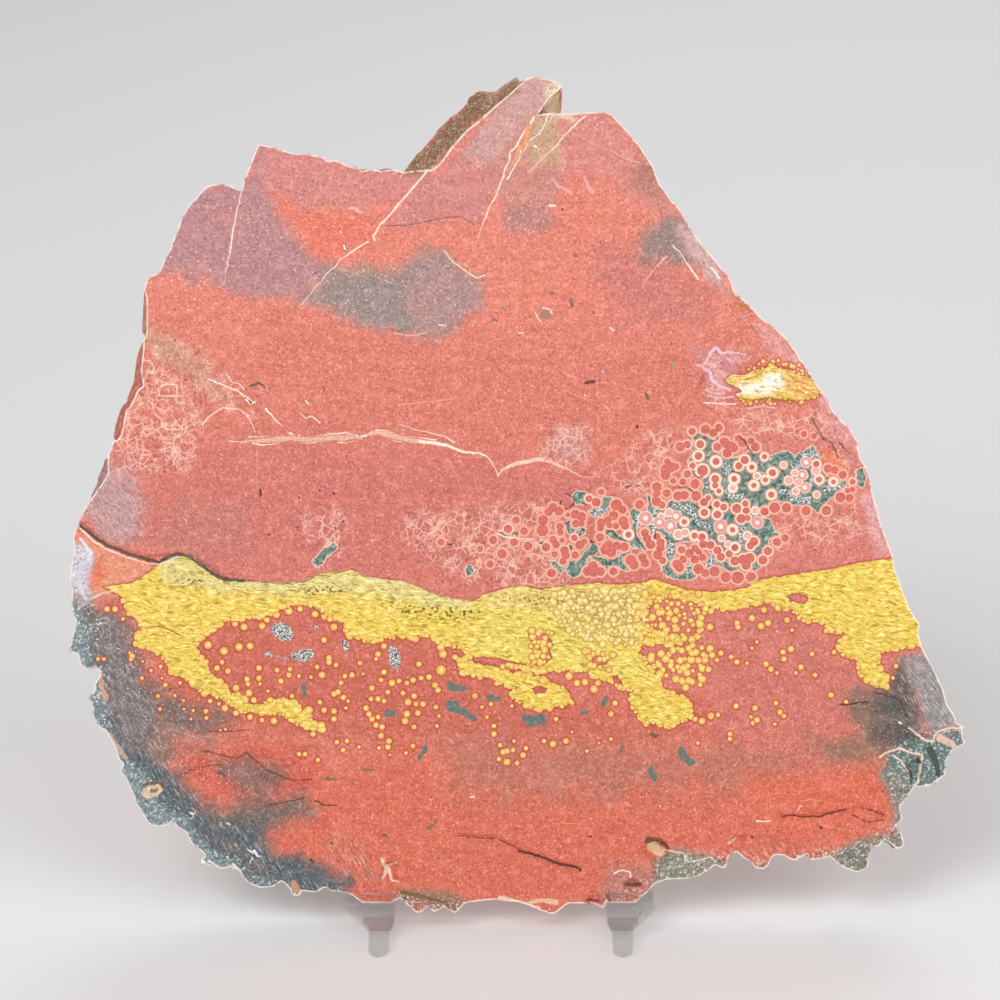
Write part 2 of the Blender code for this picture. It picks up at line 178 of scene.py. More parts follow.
def linear(*colours):
    """Colours seen on a screen, 0 to 255, as the linear values a shader mixes: the sRGB curve undone."""
    seen = np.asarray(colours, float).reshape(-1, 3) / 255
    return np.where(seen <= 0.04045, seen / 12.92, ((seen + 0.055) / 1.055) ** 2.4)


def tone(*colour):
    """One screen colour as a tuple of linear values."""
    return tuple(float(value) for value in linear(colour)[0])


def new_material(name):
    """An empty material: its shader and a wire to start expressions from."""
    made = bpy.data.materials.new(name)
    made.use_nodes = True
    tree = made.node_tree
    return made, tree.nodes["Principled BSDF"], Wire(tree, tree.nodes["Principled BSDF"].outputs[0])


print("screen red (222, 110, 95) is", [round(value, 3) for value in tone(222, 110, 95)], "to the shader")

# %% [markdown]
# ## Tools for a natural surface
# Stone is irregular at every scale, and its edges wander. Three tools make that with whole arrays: smooth
# random heights, the distance to an outline, and the nearest of many short strokes.

# %% Smooth random heights


def waves(places, size, seed):
    """Smooth random heights from -1 to 1: random numbers on a lattice of that size, blended by a smooth step."""
    table = np.random.default_rng(seed).uniform(-1, 1, (32, 32, 32))
    cell = places / size
    corner = np.floor(cell).astype(int)
    share = cell - corner
    share = share * share * (3 - 2 * share)
    height = np.zeros(len(places))
    for step in np.ndindex(2, 2, 2):
        near = np.prod(np.where(step, share, 1 - share), axis=1)
        height += near * table[tuple(((corner + step) % 32).T)]
    return height


def flat(places):
    """Places across and up, with a zero for out of the slab."""
    return np.column_stack([places[:, :2], np.zeros(len(places))])


print("random heights at three places:", waves(np.eye(3) * 5, 2.0, 1).round(2))

# %% Distance to an outline


def outline_distance(places, outline):
    """How far each place is from a closed outline, negative inside: least distance to its sides, with the
    sign from how often a line to the right crosses them."""
    start, end = outline, np.roll(outline, -1, axis=0)
    nearest = np.full(len(places), np.inf)
    crossings = np.zeros(len(places), int)
    for one, two in zip(start, end):
        along = two - one
        share = np.clip((places - one) @ along / max(along @ along, 1e-12), 0, 1)
        nearest = np.minimum(nearest, np.hypot(*(places - one - share[:, None] * along).T))
        spans = (one[1] > places[:, 1]) != (two[1] > places[:, 1])
        rise = along[1] if abs(along[1]) > 1e-12 else 1e-12
        crossings += spans & (places[:, 0] < one[0] + (places[:, 1] - one[1]) / rise * along[0])
    return np.where(crossings % 2 == 1, -nearest, nearest)


def joined_distance(places, outlines):
    """The least distance to any of several outlines."""
    return np.min([outline_distance(places, outline) for outline in outlines], axis=0)


square = np.array([(-1.0, -1.0), (1.0, -1.0), (1.0, 1.0), (-1.0, 1.0)])
print("from the middle of a square to its sides:", outline_distance(np.zeros((1, 2)), square))

# %% The nearest of many strokes


def nearest_stroke(places, strokes):
    """The number of the stroke nearest to each place. A stroke is a row: start, end, start radius, end radius,
    and its distance is that to its line, less its radius there."""
    best = np.full(len(places), np.inf)
    chosen = np.zeros(len(places), int)
    for number, (x1, y1, x2, y2, r1, r2) in enumerate(strokes[:, :6]):
        reach = max(r1, r2) + 2.5
        near = np.flatnonzero(
            (np.abs(places[:, 0] - (x1 + x2) / 2) < abs(x2 - x1) / 2 + reach)
            & (np.abs(places[:, 1] - (y1 + y2) / 2) < abs(y2 - y1) / 2 + reach)
        )
        off = places[near] - (x1, y1)
        along = np.array([x2 - x1, y2 - y1])
        share = np.clip(off @ along / max(along @ along, 1e-9), 0, 1)
        gap = np.hypot(*(off - share[:, None] * along).T) - (r1 + share * (r2 - r1))
        closer = gap < best[near]
        best[near[closer]] = gap[closer]
        chosen[near[closer]] = number
    return chosen, best


two_strokes = np.array([[1.0, 0.0, 2.0, 0.0, 0.1, 0.1], [0.0, 3.0, 0.0, 4.0, 0.1, 0.1]])
print("number of the stroke nearest to 0, 0, and the gap to it:", nearest_stroke(np.zeros((1, 2)), two_strokes))

# %% [markdown]
# ## The slab's skin as a mesh
# The solid model has the slab's true outline with few faces. The dressed slab keeps that outline: its rim is
# the solid's rim, cut finer, and the two broad faces are new nets of small triangles. Fine triangles carry
# real hollows, and each one can remember which orb or vein is nearest to it.

# %% The rim, from the solid
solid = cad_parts["jasper_slab"].data
corners = np.empty(len(solid.vertices) * 3, np.float32)
solid.vertices.foreach_get("co", corners)
loose = np.empty(len(solid.loops), np.int32)
solid.loops.foreach_get("vertex_index", loose)
rounded, joined = np.unique(in_slab(corners.reshape(-1, 3)[loose]).round(3), axis=0, return_inverse=True)
triangles = joined.reshape(-1, 3)

VUGS = np.array([  # x and y in the picture, radius and depth in millimetres
    (391, 869, 2.1, 1.3), (656, 852, 2.8, 1.5), (739, 842, 1.6, 1.0),
    (633, 886, 1.8, 1.1), (592, 900, 1.8, 0.9), (914, 768, 2.2, 1.3),
])
VUG_PLACES, VUG_RADII, VUG_DEPTHS = on_slab(VUGS[:, :2]), VUGS[:, 2], VUGS[:, 3]
ON_FACE, VUG_FLOOR = 0.02, -2.0  # how near a face counts as on it, and below which nothing belongs to a vug
out = rounded[:, 2]
in_vug = np.any(np.hypot(*(rounded[:, None, :2] - VUG_PLACES).T) < VUG_RADII[:, None], axis=0) & (out > VUG_FLOOR)
rim = triangles[
    ~np.all(out[triangles] > -ON_FACE, axis=1)
    & ~np.all(out[triangles] < ON_FACE - THICKNESS, axis=1)
    & ~np.all(in_vug[triangles], axis=1)
]
print("the solid slab has", len(triangles), "triangles,", len(rim), "of them on its rim")

# %% Cut the rim finer


def cut_in_four(places, faces):
    """Each triangle becomes four, by a new corner in the middle of each of its sides."""
    sides = np.sort(np.concatenate([faces[:, [0, 1]], faces[:, [1, 2]], faces[:, [2, 0]]]), axis=1)
    single, number = np.unique(sides, axis=0, return_inverse=True)
    ab, bc, ca = number.reshape(3, -1) + len(places)
    a, b, c = faces.T
    fours = [(a, ab, ca), (ab, b, bc), (ca, bc, c), (ab, bc, ca)]
    return np.vstack([places, places[single].mean(axis=1)]), np.vstack([np.column_stack(f) for f in fours])


rim_places, rim_faces = rounded, rim
for _ in range(2):
    rim_places, rim_faces = cut_in_four(rim_places, rim_faces)
used, rim_faces = np.unique(rim_faces, return_inverse=True)
rim_places, rim_faces = rim_places[used], rim_faces.reshape(-1, 3)
sides = np.concatenate([rim_faces[:, [0, 1]], rim_faces[:, [1, 2]], rim_faces[:, [2, 0]]])
single, count = np.unique(np.sort(sides, axis=1), axis=0, return_counts=True)
open_sides = single[count == 1]
front_sides = open_sides[rim_places[open_sides[:, 0], 2] > -0.5 * THICKNESS]
back_sides = open_sides[rim_places[open_sides[:, 0], 2] < -0.5 * THICKNESS]
print("rim:", len(rim_faces), "triangles; front edge", len(front_sides), "sides; back edge", len(back_sides))

# %% Which places are inside a loop, and how near its sides are
FARTHEST = 3.0


def inside_sides(places, loop):
    """Whether each place is inside a loose loop of sides: a line to the right crosses it an odd number of times."""
    order = np.argsort(places[:, 1])
    heights = places[order, 1]
    crossings = np.zeros(len(places), int)
    for (x1, y1), (x2, y2) in loop:
        first, last = np.searchsorted(heights, [min(y1, y2), max(y1, y2)])
        row = order[first:last]
        if len(row):
            crossings[row] += places[row, 0] < x1 + (places[row, 1] - y1) / (y2 - y1) * (x2 - x1)
    return crossings % 2 == 1


def nearest_side(places, loop):
    """The distance to the nearest side of a loop, up to 3 mm, looked for only close to each side."""
    rows = np.column_stack([loop.reshape(-1, 4), np.zeros((len(loop), 2))])
    chosen, gap = nearest_stroke(places, rows)
    return np.minimum(gap, FARTHEST), chosen


front_loop = rim_places[front_sides][:, :, :2]
face_middle = front_loop.mean(axis=(0, 1))[None]
print("the middle of the front edge is inside it:", inside_sides(face_middle, front_loop)[0])

# %% A net of triangles in a closed edge
ROW_STEP = 0.866  # between the rows of a net of even triangles, as a share of its spacing
CLEARANCE = 0.45  # between the edge and the first points, as a share of the fine spacing
SAME_POINT = 1e-5


def net(edge_sides, spacing, fine_spots, fine_spacing):
    """Triangles that fill a closed edge: rows of points set half a step off each other, finer at some spots,
    joined so that no triangle is thinner than it must be. Returns the new points, the triangles, and the
    numbers of the edge's corners."""
    edge_numbers, ends = np.unique(edge_sides, return_inverse=True)
    edge = rim_places[edge_numbers, :2]
    loop = edge[ends.reshape(-1, 2)]

    def rows(step):
        low, high = edge.min(axis=0), edge.max(axis=0)
        x, y = np.meshgrid(np.arange(low[0], high[0], step), np.arange(low[1], high[1], step * ROW_STEP))
        x[1::2] += step / 2
        return np.column_stack([x.ravel(), y.ravel()])

    coarse, fine = rows(spacing), rows(fine_spacing)
    coarse = coarse[fine_spots(coarse) > 0.0]
    fine = fine[fine_spots(fine) <= 0.0]
    points = np.vstack([coarse, fine])
    inside = inside_sides(points, loop)
    points = points[inside]
    near, _ = nearest_side(points, loop)
    points = points[near > CLEARANCE * fine_spacing]
    every = [Vector(place) for place in np.vstack([edge, points])]
    made = delaunay_2d_cdt(every, ends.reshape(-1, 2).tolist(), [], 0, SAME_POINT)
    faces = np.array(made[2])
    centres = np.vstack([edge, points])[faces].mean(axis=1)
    faces = faces[inside_sides(centres, loop)]
    return points, faces, edge_numbers


print("rows of a net with a spacing of 1 mm are", ROW_STEP, "mm apart")

# %% Where the net is fine: open cracks, and patches with small orbs and crystals
OPEN_CRACKS = [  # reach of the fine net, half width and depth in millimetres, and the trail
    (1.3, 0.35, 0.5, [80, 524, 106, 545, 142, 558, 167, 557, 190, 557, 225, 579]),
    (1.0, 0.28, 0.45, [458, 836, 496, 839, 519, 851, 554, 862, 580, 870]),
    (1.0, 0.22, 0.4, [782, 817, 803, 817, 828, 814, 860, 808, 883, 815]),
    (0.9, 0.2, 0.12, [428, 170, 388, 217, 361, 246, 322, 280, 301, 305]),
    (0.9, 0.2, 0.12, [534, 117, 514, 148, 504, 175, 484, 220]),
]
FINE_PATCHES = [
    (7.5, [560, 530, 636, 528]), (9.5, [690, 500, 750, 500]), (6.0, [790, 478, 836, 480]),
    (3.4, [700, 562, 745, 558]), (4.0, [744, 386, 806, 388]), (2.0, [85, 545, 85, 590]),
]


def strokes_of(trail, radius):
    """A trail of picture places as strokes from each to the next. The radius in millimetres is one number, or
    the first and the last of a trail that grows thinner."""
    places = on_slab(trail)
    radii = np.linspace(*np.broadcast_to(radius, 2), len(places))
    return np.column_stack([places[:-1], places[1:], radii[:-1], radii[1:]])


VUG_MARGIN = 0.4
fine_trails = [(reach, trail) for reach, _, _, trail in OPEN_CRACKS] + FINE_PATCHES
vug_reach = VUG_RADII + VUG_MARGIN
fine_rows = np.vstack([
    *(strokes_of(trail, reach) for reach, trail in fine_trails),
    np.column_stack([VUG_PLACES, VUG_PLACES, vug_reach, vug_reach]),
])


def fine_spots(places):
    """Less than nothing where the net has to be fine: on cracks and hollows."""
    return nearest_stroke(places, fine_rows)[1]


print(len(fine_rows), "strokes carry a fine net")

# %% Fill the two broad faces
FRONT_STEP, FINE_STEP, BACK_STEP = 0.66, 0.33, 1.5
front_points, front_faces, front_edge = net(front_sides, FRONT_STEP, fine_spots, FINE_STEP)
back_points, back_faces, back_edge = net(back_sides, BACK_STEP, lambda places: np.ones(len(places)), BACK_STEP)
print("front face:", len(front_faces), "triangles; back face:", len(back_faces))

# %% Join the three into one closed skin
start_front = len(rim_places)
start_back = start_front + len(front_points)
skin = np.vstack([
    rim_places,
    np.column_stack([front_points, np.zeros(len(front_points))]),
    np.column_stack([back_points, np.full(len(back_points), -THICKNESS)]),
])
front_numbers = np.concatenate([front_edge, start_front + np.arange(len(front_points))])
back_numbers = np.concatenate([back_edge, start_back + np.arange(len(back_points))])
skin_faces = np.vstack([rim_faces, front_numbers[front_faces], back_numbers[back_faces[:, ::-1]]])


def facing(places, faces):
    """Each triangle's outward arrow, as long as twice its area."""
    a, b, c = places[faces.T]
    return np.cross(b - a, c - a)


arrows = facing(skin, skin_faces)
front_rows = slice(len(rim_faces), len(rim_faces) + len(front_faces))
back_rows = slice(front_rows.stop, None)
for rows, outward in ((front_rows, 1.0), (back_rows, -1.0)):
    turned = arrows[rows][:, 2] * outward < 0
    block = skin_faces[rows]
    block[turned] = block[turned][:, ::-1]
    skin_faces[rows] = block
volume = np.einsum("ij,ij->i", skin[skin_faces[:, 0]], facing(skin, skin_faces)).sum() / 6
print("skin:", len(skin), "corners,", len(skin_faces), "triangles,", round(volume / 1000, 1), "cubic centimetres")

# %% [markdown]
# ## Hollows, cracks and a broken rim
# The face was sawn flat and rubbed smooth, but cracks stay open in it, small crystal-lined hollows (vugs)
# break its lower edge, and the rim was never cut: it is the rough outside of the nodule. The mesh is pressed
# in here, so that light catches these from any side.

# %% Press the surface in
rim_gap, _ = nearest_side(skin[:, :2], front_loop)
on_front = np.zeros(len(skin), bool)
on_front[start_front:start_back] = True
on_front[np.unique(front_sides)] = True
on_back = skin[:, 2] < ON_FACE / 2 - THICKNESS
on_rim = ~on_front & ~on_back

CRACK_SLOPE, WEAR_WIDTH, WEAR_DEPTH = 0.25, 0.5, 0.16
BITE, BROAD_BITE, SMALL_BITE = 0.16, 0.12, 0.08
depth = np.zeros(len(skin))
for _, half_width, deep, trail in OPEN_CRACKS:
    gap = nearest_stroke(skin[:, :2], strokes_of(trail, 0.0))[1]
    depth = np.maximum(depth, deep * np.clip(1 - (gap / (half_width + CRACK_SLOPE)) ** 2, 0, 1))
wander = 0.3 * waves(flat(skin), 1.1, 5)
for place, radius, deep in zip(VUG_PLACES, VUG_RADII, VUG_DEPTHS):
    away = np.hypot(*(skin[:, :2] - place).T) / (0.8 * radius) + wander
    depth = np.maximum(depth, deep * (1 - np.clip(away, 0, 1) ** 2) ** 0.7)
worn = WEAR_DEPTH * np.clip(1 - rim_gap / WEAR_WIDTH, 0, 1) ** 2
skin[:, 2] -= np.where(on_front, depth + worn, 0.0)

corner_arrows = np.zeros_like(skin)
np.add.at(corner_arrows, rim_faces.ravel(), np.repeat(facing(skin, rim_faces), 3, axis=0))
length = np.linalg.norm(corner_arrows, axis=1, keepdims=True)
corner_arrows /= np.maximum(length, 1e-9)
middle_share = np.clip(1 - np.abs(2 * skin[:, 2] / THICKNESS + 1) ** 6, 0, 1) * on_rim
bite = BITE + BROAD_BITE * waves(skin, 1.7, 2) + SMALL_BITE * waves(skin, 0.7, 3)
skin -= corner_arrows * (bite * middle_share)[:, None]
print("deepest hollow:", round(float(depth.max()), 2), "mm")
print("deepest bite in the rim:", round(float(bite.max()), 2), "mm")

# %% [markdown]
# ## Where each colour lies
# Red iron dust, grey and mauve clouds, the yellow band and the green-grey quartz between the orbs were there
# before the saw. The clouds have no sharp edge, so each is an outline with a soft border that tints the net's
# corners. Sharp borders are kept as distances, and the shader draws the line itself.

# %% Clouds of colour in the red ground
RED, SALMON, MAROON, ORANGE_RED = (215, 122, 107), (225, 130, 113), (207, 117, 107), (214, 110, 88)
MAUVE, PINK, GREY, SMOKE, LILAC = (184, 132, 134), (211, 134, 127), (154, 136, 132), (84, 97, 103), (210, 168, 164)
CLOUDS = [
    (SALMON, 40, [100, 60, 720, 60, 790, 330, 700, 340, 560, 330, 300, 330, 100, 330]),
    ((226, 122, 101), 10, [262, 190, 285, 200, 325, 207, 350, 212, 372, 222, 378, 234, 350, 250, 334, 262, 315, 256,
        295, 228, 276, 206]),
    (PINK, 12, [250, 140, 330, 148, 400, 160, 436, 165, 400, 200, 350, 208, 300, 205, 262, 182]),
    (MAUVE, 9, [140, 272, 165, 272, 181, 274, 188, 283, 204, 276, 226, 288, 255, 294, 286, 299, 302, 305, 330, 268,
        318, 262, 300, 240, 282, 215, 262, 180, 262, 140, 243, 180, 190, 180, 150, 240]),
    ((206, 132, 127), 8, [430, 172, 470, 130, 528, 90, 560, 118, 512, 168, 496, 196, 474, 224, 460, 216, 420, 223,
        382, 226]), ((203, 157, 151), 8, [455, 160, 500, 95, 525, 70, 560, 75, 565, 118, 534, 117, 500, 165]),
    (GREY, 12, [303, 300, 332, 268, 364, 268, 393, 268, 418, 261, 442, 254, 452, 264, 478, 282, 478, 304, 456, 322,
        430, 333, 400, 334, 360, 322, 330, 308]),
    ((174, 136, 134), 12, [405, 285, 440, 262, 478, 282, 480, 304, 456, 322, 420, 332]),
    ((186, 128, 124), 10, [497, 206, 520, 196, 552, 200, 556, 222, 530, 238, 502, 232]),
    ((214, 136, 126), 14, [548, 112, 610, 112, 650, 160, 690, 218, 664, 232, 626, 196, 584, 168, 548, 176]),
    ((205, 137, 125), 8, [488, 168, 530, 120, 560, 176, 556, 200, 500, 214]),
    ((184, 122, 110), 10, [640, 160, 664, 172, 660, 196, 636, 186]),
    ((208, 124, 114), 16, [600, 240, 650, 250, 720, 290, 700, 330, 620, 320, 590, 280]),
    ((152, 128, 122), 10, [640, 240, 650, 226, 675, 218, 690, 230, 698, 248, 712, 276, 690, 268, 668, 256, 646, 256]),
    (LILAC, 8, [680, 228, 700, 238, 722, 270, 730, 296, 710, 282, 690, 262]),
    ((196, 116, 78), 6, [733, 292, 756, 296, 760, 316, 738, 312]),
    ((200, 158, 130), 6, [526, 116, 558, 116, 560, 164, 528, 166]),
    ((156, 116, 84), 6, [405, 172, 424, 142, 452, 108, 490, 78, 526, 72, 520, 92, 472, 128, 430, 172]),
    ((236, 208, 176), 5, [545, 84, 570, 80, 572, 118, 547, 116]),
    (MAROON, 34, [70, 470, 250, 446, 360, 446, 480, 464, 560, 474, 640, 470, 660, 590, 500, 600, 420, 590, 320, 575,
        220, 575, 150, 560, 80, 530]), ((214, 124, 113), 22, [640, 430, 880, 410, 900, 580, 660, 590]),
    ((192, 148, 146), 14, [76, 480, 110, 462, 145, 480, 140, 520, 150, 548, 110, 540, 78, 520]),
    ((197, 121, 109), 26, [160, 500, 236, 506, 240, 552, 205, 560, 160, 540]),
    ((206, 150, 128), 10, [145, 325, 167, 340, 190, 352, 206, 372, 223, 390, 246, 402, 238, 412, 214, 400, 190, 378,
        160, 358, 140, 340]),
    ((227, 146, 116), 8, [70, 528, 108, 547, 150, 560, 154, 575, 130, 590, 84, 612, 66, 600]),
    ((222, 122, 94), 5, [84, 566, 100, 562, 108, 574, 96, 588, 84, 590]),
    ((226, 150, 70), 4, [74, 548, 82, 552, 80, 566]),
    ((226, 122, 92), 5, [818, 450, 836, 452, 846, 462, 846, 474, 830, 476, 820, 462]),
    ((204, 134, 130), 10, [560, 428, 584, 424, 592, 444, 580, 462, 556, 462, 544, 446]),
    ((210, 142, 142), 8, [700, 350, 746, 350, 748, 360, 730, 384, 712, 396, 700, 366]),
    ((206, 196, 206), 5, [74, 544, 88, 548, 92, 560, 88, 576, 92, 600, 78, 606, 68, 580]),
    ((226, 150, 142), 5, [744, 314, 764, 320, 806, 366, 832, 404, 858, 440, 866, 462, 852, 452, 832, 424, 806, 384,
        782, 356, 758, 336]), ((226, 158, 156), 5, [856, 494, 872, 490, 892, 552, 878, 558]),
    ((198, 96, 92), 10, [100, 600, 124, 598, 126, 614, 106, 618]),
    ((203, 106, 89), 18, [190, 610, 320, 600, 440, 636, 520, 680, 640, 700, 720, 690, 720, 740, 640, 750, 420, 745,
        240, 740, 120, 680]),
    ((206, 118, 106), 14, [690, 606, 790, 606, 850, 660, 880, 690, 860, 740, 720, 740, 700, 690, 716, 650]),
    (ORANGE_RED, 30, [150, 760, 400, 750, 900, 745, 920, 830, 840, 880, 560, 930, 380, 920, 200, 850]),
    ((192, 116, 101), 22, [440, 740, 620, 745, 800, 740, 880, 760, 760, 786, 600, 800, 460, 786]),
    ((218, 108, 84), 16, [750, 776, 888, 770, 888, 826, 800, 834, 752, 824]),
    ((208, 101, 84), 14, [180, 748, 260, 744, 330, 756, 330, 790, 250, 800, 200, 786]),
    ((156, 112, 94), 12, [808, 738, 884, 732, 886, 758, 830, 764]),
    ((134, 108, 96), 12, [842, 700, 880, 690, 900, 720, 880, 740, 850, 720]),
    ((96, 90, 87), 10, [872, 696, 902, 664, 920, 700, 930, 746, 900, 760, 876, 744]),
    ((150, 146, 146), 7, [903, 657, 946, 652, 968, 730, 928, 738, 914, 690]),
    ((104, 124, 122), 6, [892, 745, 914, 740, 968, 724, 972, 760, 930, 792, 906, 802, 880, 780]),
    ((124, 106, 100), 16, [60, 600, 106, 606, 128, 622, 146, 672, 190, 706, 230, 722, 214, 744, 176, 740, 160, 771,
        180, 778, 200, 803, 240, 806, 300, 800, 310, 810, 280, 826, 240, 850, 120, 820, 60, 700]),
    ((140, 104, 96), 10, [214, 762, 250, 760, 286, 776, 280, 794, 240, 790]),
    ((122, 114, 114), 10, [60, 606, 112, 616, 130, 650, 146, 700, 150, 750, 170, 790, 120, 800, 60, 700]),
    (SMOKE, 12, [40, 640, 88, 640, 96, 700, 130, 750, 170, 780, 196, 812, 232, 826, 262, 824, 280, 850, 350, 880, 330,
        930, 200, 900, 60, 780]), ((158, 116, 98), 6, [396, 886, 440, 892, 470, 900, 470, 915, 396, 905]),
    ((142, 140, 124), 6, [655, 860, 680, 850, 712, 856, 728, 862, 728, 890, 640, 905]),
    ((150, 132, 118), 7, [760, 866, 800, 862, 820, 858, 850, 844, 890, 830, 912, 812, 912, 890, 820, 885, 770, 880]),
    ((128, 126, 114), 6, [818, 862, 850, 848, 874, 850, 870, 885, 830, 885]),
    ((140, 134, 124), 7, [880, 764, 896, 770, 906, 778, 912, 850, 886, 850, 892, 812]),
    ((190, 124, 110), 10, [606, 868, 650, 866, 660, 880, 640, 900, 600, 900]),
    ((128, 144, 148), 6, [50, 596, 80, 606, 92, 640, 90, 668, 98, 690, 104, 712, 108, 736, 124, 760, 146, 778, 160,
        804, 186, 820, 196, 840, 212, 854, 232, 860, 246, 876, 300, 890, 300, 930, 40, 930]),
]
print(len(CLOUDS), "clouds")

# %% Lay the clouds over a colour


def clouded(places, start, clouds, seed):
    """Colours at places: the start colour, with each cloud laid over it. A cloud is full inside its outline and
    fades across its border, which random heights push in and out."""
    colours = np.tile(np.asarray(start, float), (len(places), 1))
    wander = 0.6 * waves(flat(places), 5.0, seed) + 0.4 * waves(flat(places), 1.8, seed + 1)
    for colour, border, trail in clouds:
        soft = border * PICTURE_STEP
        gap = outline_distance(places[:, :2], on_slab(trail)) + wander * soft
        share = np.clip(0.5 - 0.5 * gap / soft, 0, 1)[:, None]
        share = share * share * (3 - 2 * share)
        colours += (np.asarray(colour) - colours) * share
    return colours


spot = [780, 130, 820, 130, 820, 170, 780, 170]
print("in the middle of a cloud:", clouded(on_slab([800, 150]), (0, 0, 0), [((200, 100, 50), 4, spot)], 7).round())

# %% The bands dip as they run through the stone
DIP_ACROSS, DIP_UP, DIP_WAVE, DIP_SIZE = 3.0, -2.5, 2.0, 24.0


def marking_places(places):
    """Where on the picture's face a place takes its markings from: deeper places slide sideways and down, by a
    slow wave, so the back of the slab is like its face but not the same."""
    deep = np.clip(-places[:, 2] / THICKNESS, 0, 1)[:, None] ** 3
    slide = np.column_stack([
        DIP_ACROSS + DIP_WAVE * waves(flat(places), DIP_SIZE, 21),
        DIP_UP + DIP_WAVE * waves(flat(places), DIP_SIZE, 22),
    ])
    return np.column_stack([places[:, :2] + deep * slide, places[:, 2]])


markings = marking_places(skin)
ground = clouded(markings, RED, CLOUDS, 7)
print("the ground's mean colour is", ground[on_front].mean(axis=0).round())

# %% Outlines of the yellow band, its gaps, the quartz and the crystals
YELLOW_BAND = [
    104, 587, 133, 583, 150, 572, 167, 558, 177, 554, 190, 557, 202, 566, 213, 574, 223, 579, 244, 581, 261, 582,
    290, 583, 305, 581, 314, 575, 328, 573, 340, 572, 352, 570, 365, 577, 392, 580, 407, 582, 426, 591, 445, 597,
    472, 601, 482, 596, 493, 592, 520, 586, 539, 590, 570, 585, 596, 583, 620, 585, 645, 582, 656, 579, 668, 584,
    685, 590, 712, 592, 735, 590, 746, 588, 760, 580, 784, 576, 811, 572, 836, 568, 869, 561, 905, 558, 935, 645,
    918, 645, 897, 648, 878, 654, 878, 667, 886, 677, 888, 687, 869, 682, 861, 675, 859, 667, 857, 656, 850, 656,
    840, 652, 838, 642, 848, 638, 846, 633, 830, 629, 821, 621, 804, 619, 792, 608, 779, 608, 769, 599, 752, 604,
    723, 608, 705, 606, 690, 598, 672, 594, 655, 600, 642, 612, 640, 622, 655, 632, 672, 636, 682, 642, 672, 646,
    655, 642, 640, 644, 636, 650, 644, 658, 648, 667, 658, 679, 664, 692, 683, 696, 691, 711, 690, 718, 670, 727,
    653, 723, 640, 719, 629, 698, 635, 686, 623, 690, 612, 682, 596, 677, 589, 671, 566, 669, 552, 670, 536, 670,
    505, 666, 500, 672, 540, 678, 556, 686, 568, 692, 570, 703, 548, 709, 531, 707, 522, 703, 510, 696, 518, 688,
    510, 686, 499, 682, 491, 675, 474, 675, 459, 669, 457, 660, 472, 657, 459, 646, 441, 644, 436, 638, 422, 634,
    415, 638, 399, 635, 386, 638, 369, 641, 350, 636, 341, 619, 324, 614, 320, 606, 299, 602, 280, 606, 276, 614,
    251, 616, 240, 619, 226, 619, 219, 625, 207, 633, 198, 642, 194, 650, 203, 658, 207, 669, 217, 683, 228, 690,
    230, 696, 240, 696, 246, 702, 261, 708, 268, 701, 280, 701, 291, 700, 301, 709, 312, 721, 324, 728, 322, 730,
    309, 728, 290, 719, 280, 713, 263, 711, 244, 711, 232, 704, 224, 698, 205, 692, 194, 684, 184, 675, 171, 671,
    169, 663, 161, 654, 150, 648, 136, 644, 135, 639, 142, 629, 140, 619, 127, 610, 123, 597,
]
YELLOW_PATCH = [
    725, 381, 730, 375, 745, 375, 752, 371, 764, 369, 770, 362, 778, 368, 790, 370, 800, 374, 812, 379, 821, 388,
    818, 397, 801, 400, 783, 399, 765, 397, 751, 402, 740, 400, 736, 394, 746, 391, 736, 387,
]
RED_GAPS = [
    [527, 633, 538, 630, 546, 634, 553, 641, 549, 648, 553, 657, 546, 664, 534, 664, 529, 656, 538, 650, 531, 642],
    [590, 658, 600, 655, 610, 658, 607, 664, 596, 667], [531, 688, 540, 685, 547, 688, 546, 693, 534, 694],
    [611, 676, 618, 675, 623, 684, 619, 690, 612, 686], [786, 595, 798, 592, 811, 598, 806, 604, 790, 602],
    [638, 654, 650, 650, 664, 654, 672, 662, 660, 668, 646, 664], [276, 606, 290, 602, 304, 603, 312, 608, 290, 608],
    [446, 652, 470, 656, 500, 658, 540, 668, 520, 671, 480, 664, 450, 658],
]
BAND_CLOUDS = [
    ((224, 206, 134), 6, [165, 552, 225, 572, 300, 576, 352, 568, 410, 578, 475, 596, 475, 612, 420, 604, 340, 592,
        290, 596, 210, 592, 160, 580]),
    ((230, 200, 120), 7, [475, 596, 520, 584, 640, 584, 640, 600, 560, 612, 490, 612]),
    ((214, 186, 110), 9, [560, 600, 640, 590, 640, 636, 590, 640]),
    ((238, 198, 116), 6, [720, 376, 760, 366, 800, 372, 824, 388, 820, 400, 780, 402, 735, 402]),
    ((252, 247, 236), 4, [722, 392, 745, 385, 760, 384, 766, 371, 782, 371, 786, 388, 774, 394, 745, 396]),
    ((236, 176, 100), 4, [786, 380, 800, 380, 820, 386, 818, 396, 800, 398, 785, 394]),
    ((232, 206, 96), 8, [480, 608, 560, 612, 640, 640, 660, 680, 560, 670, 470, 650]),
]
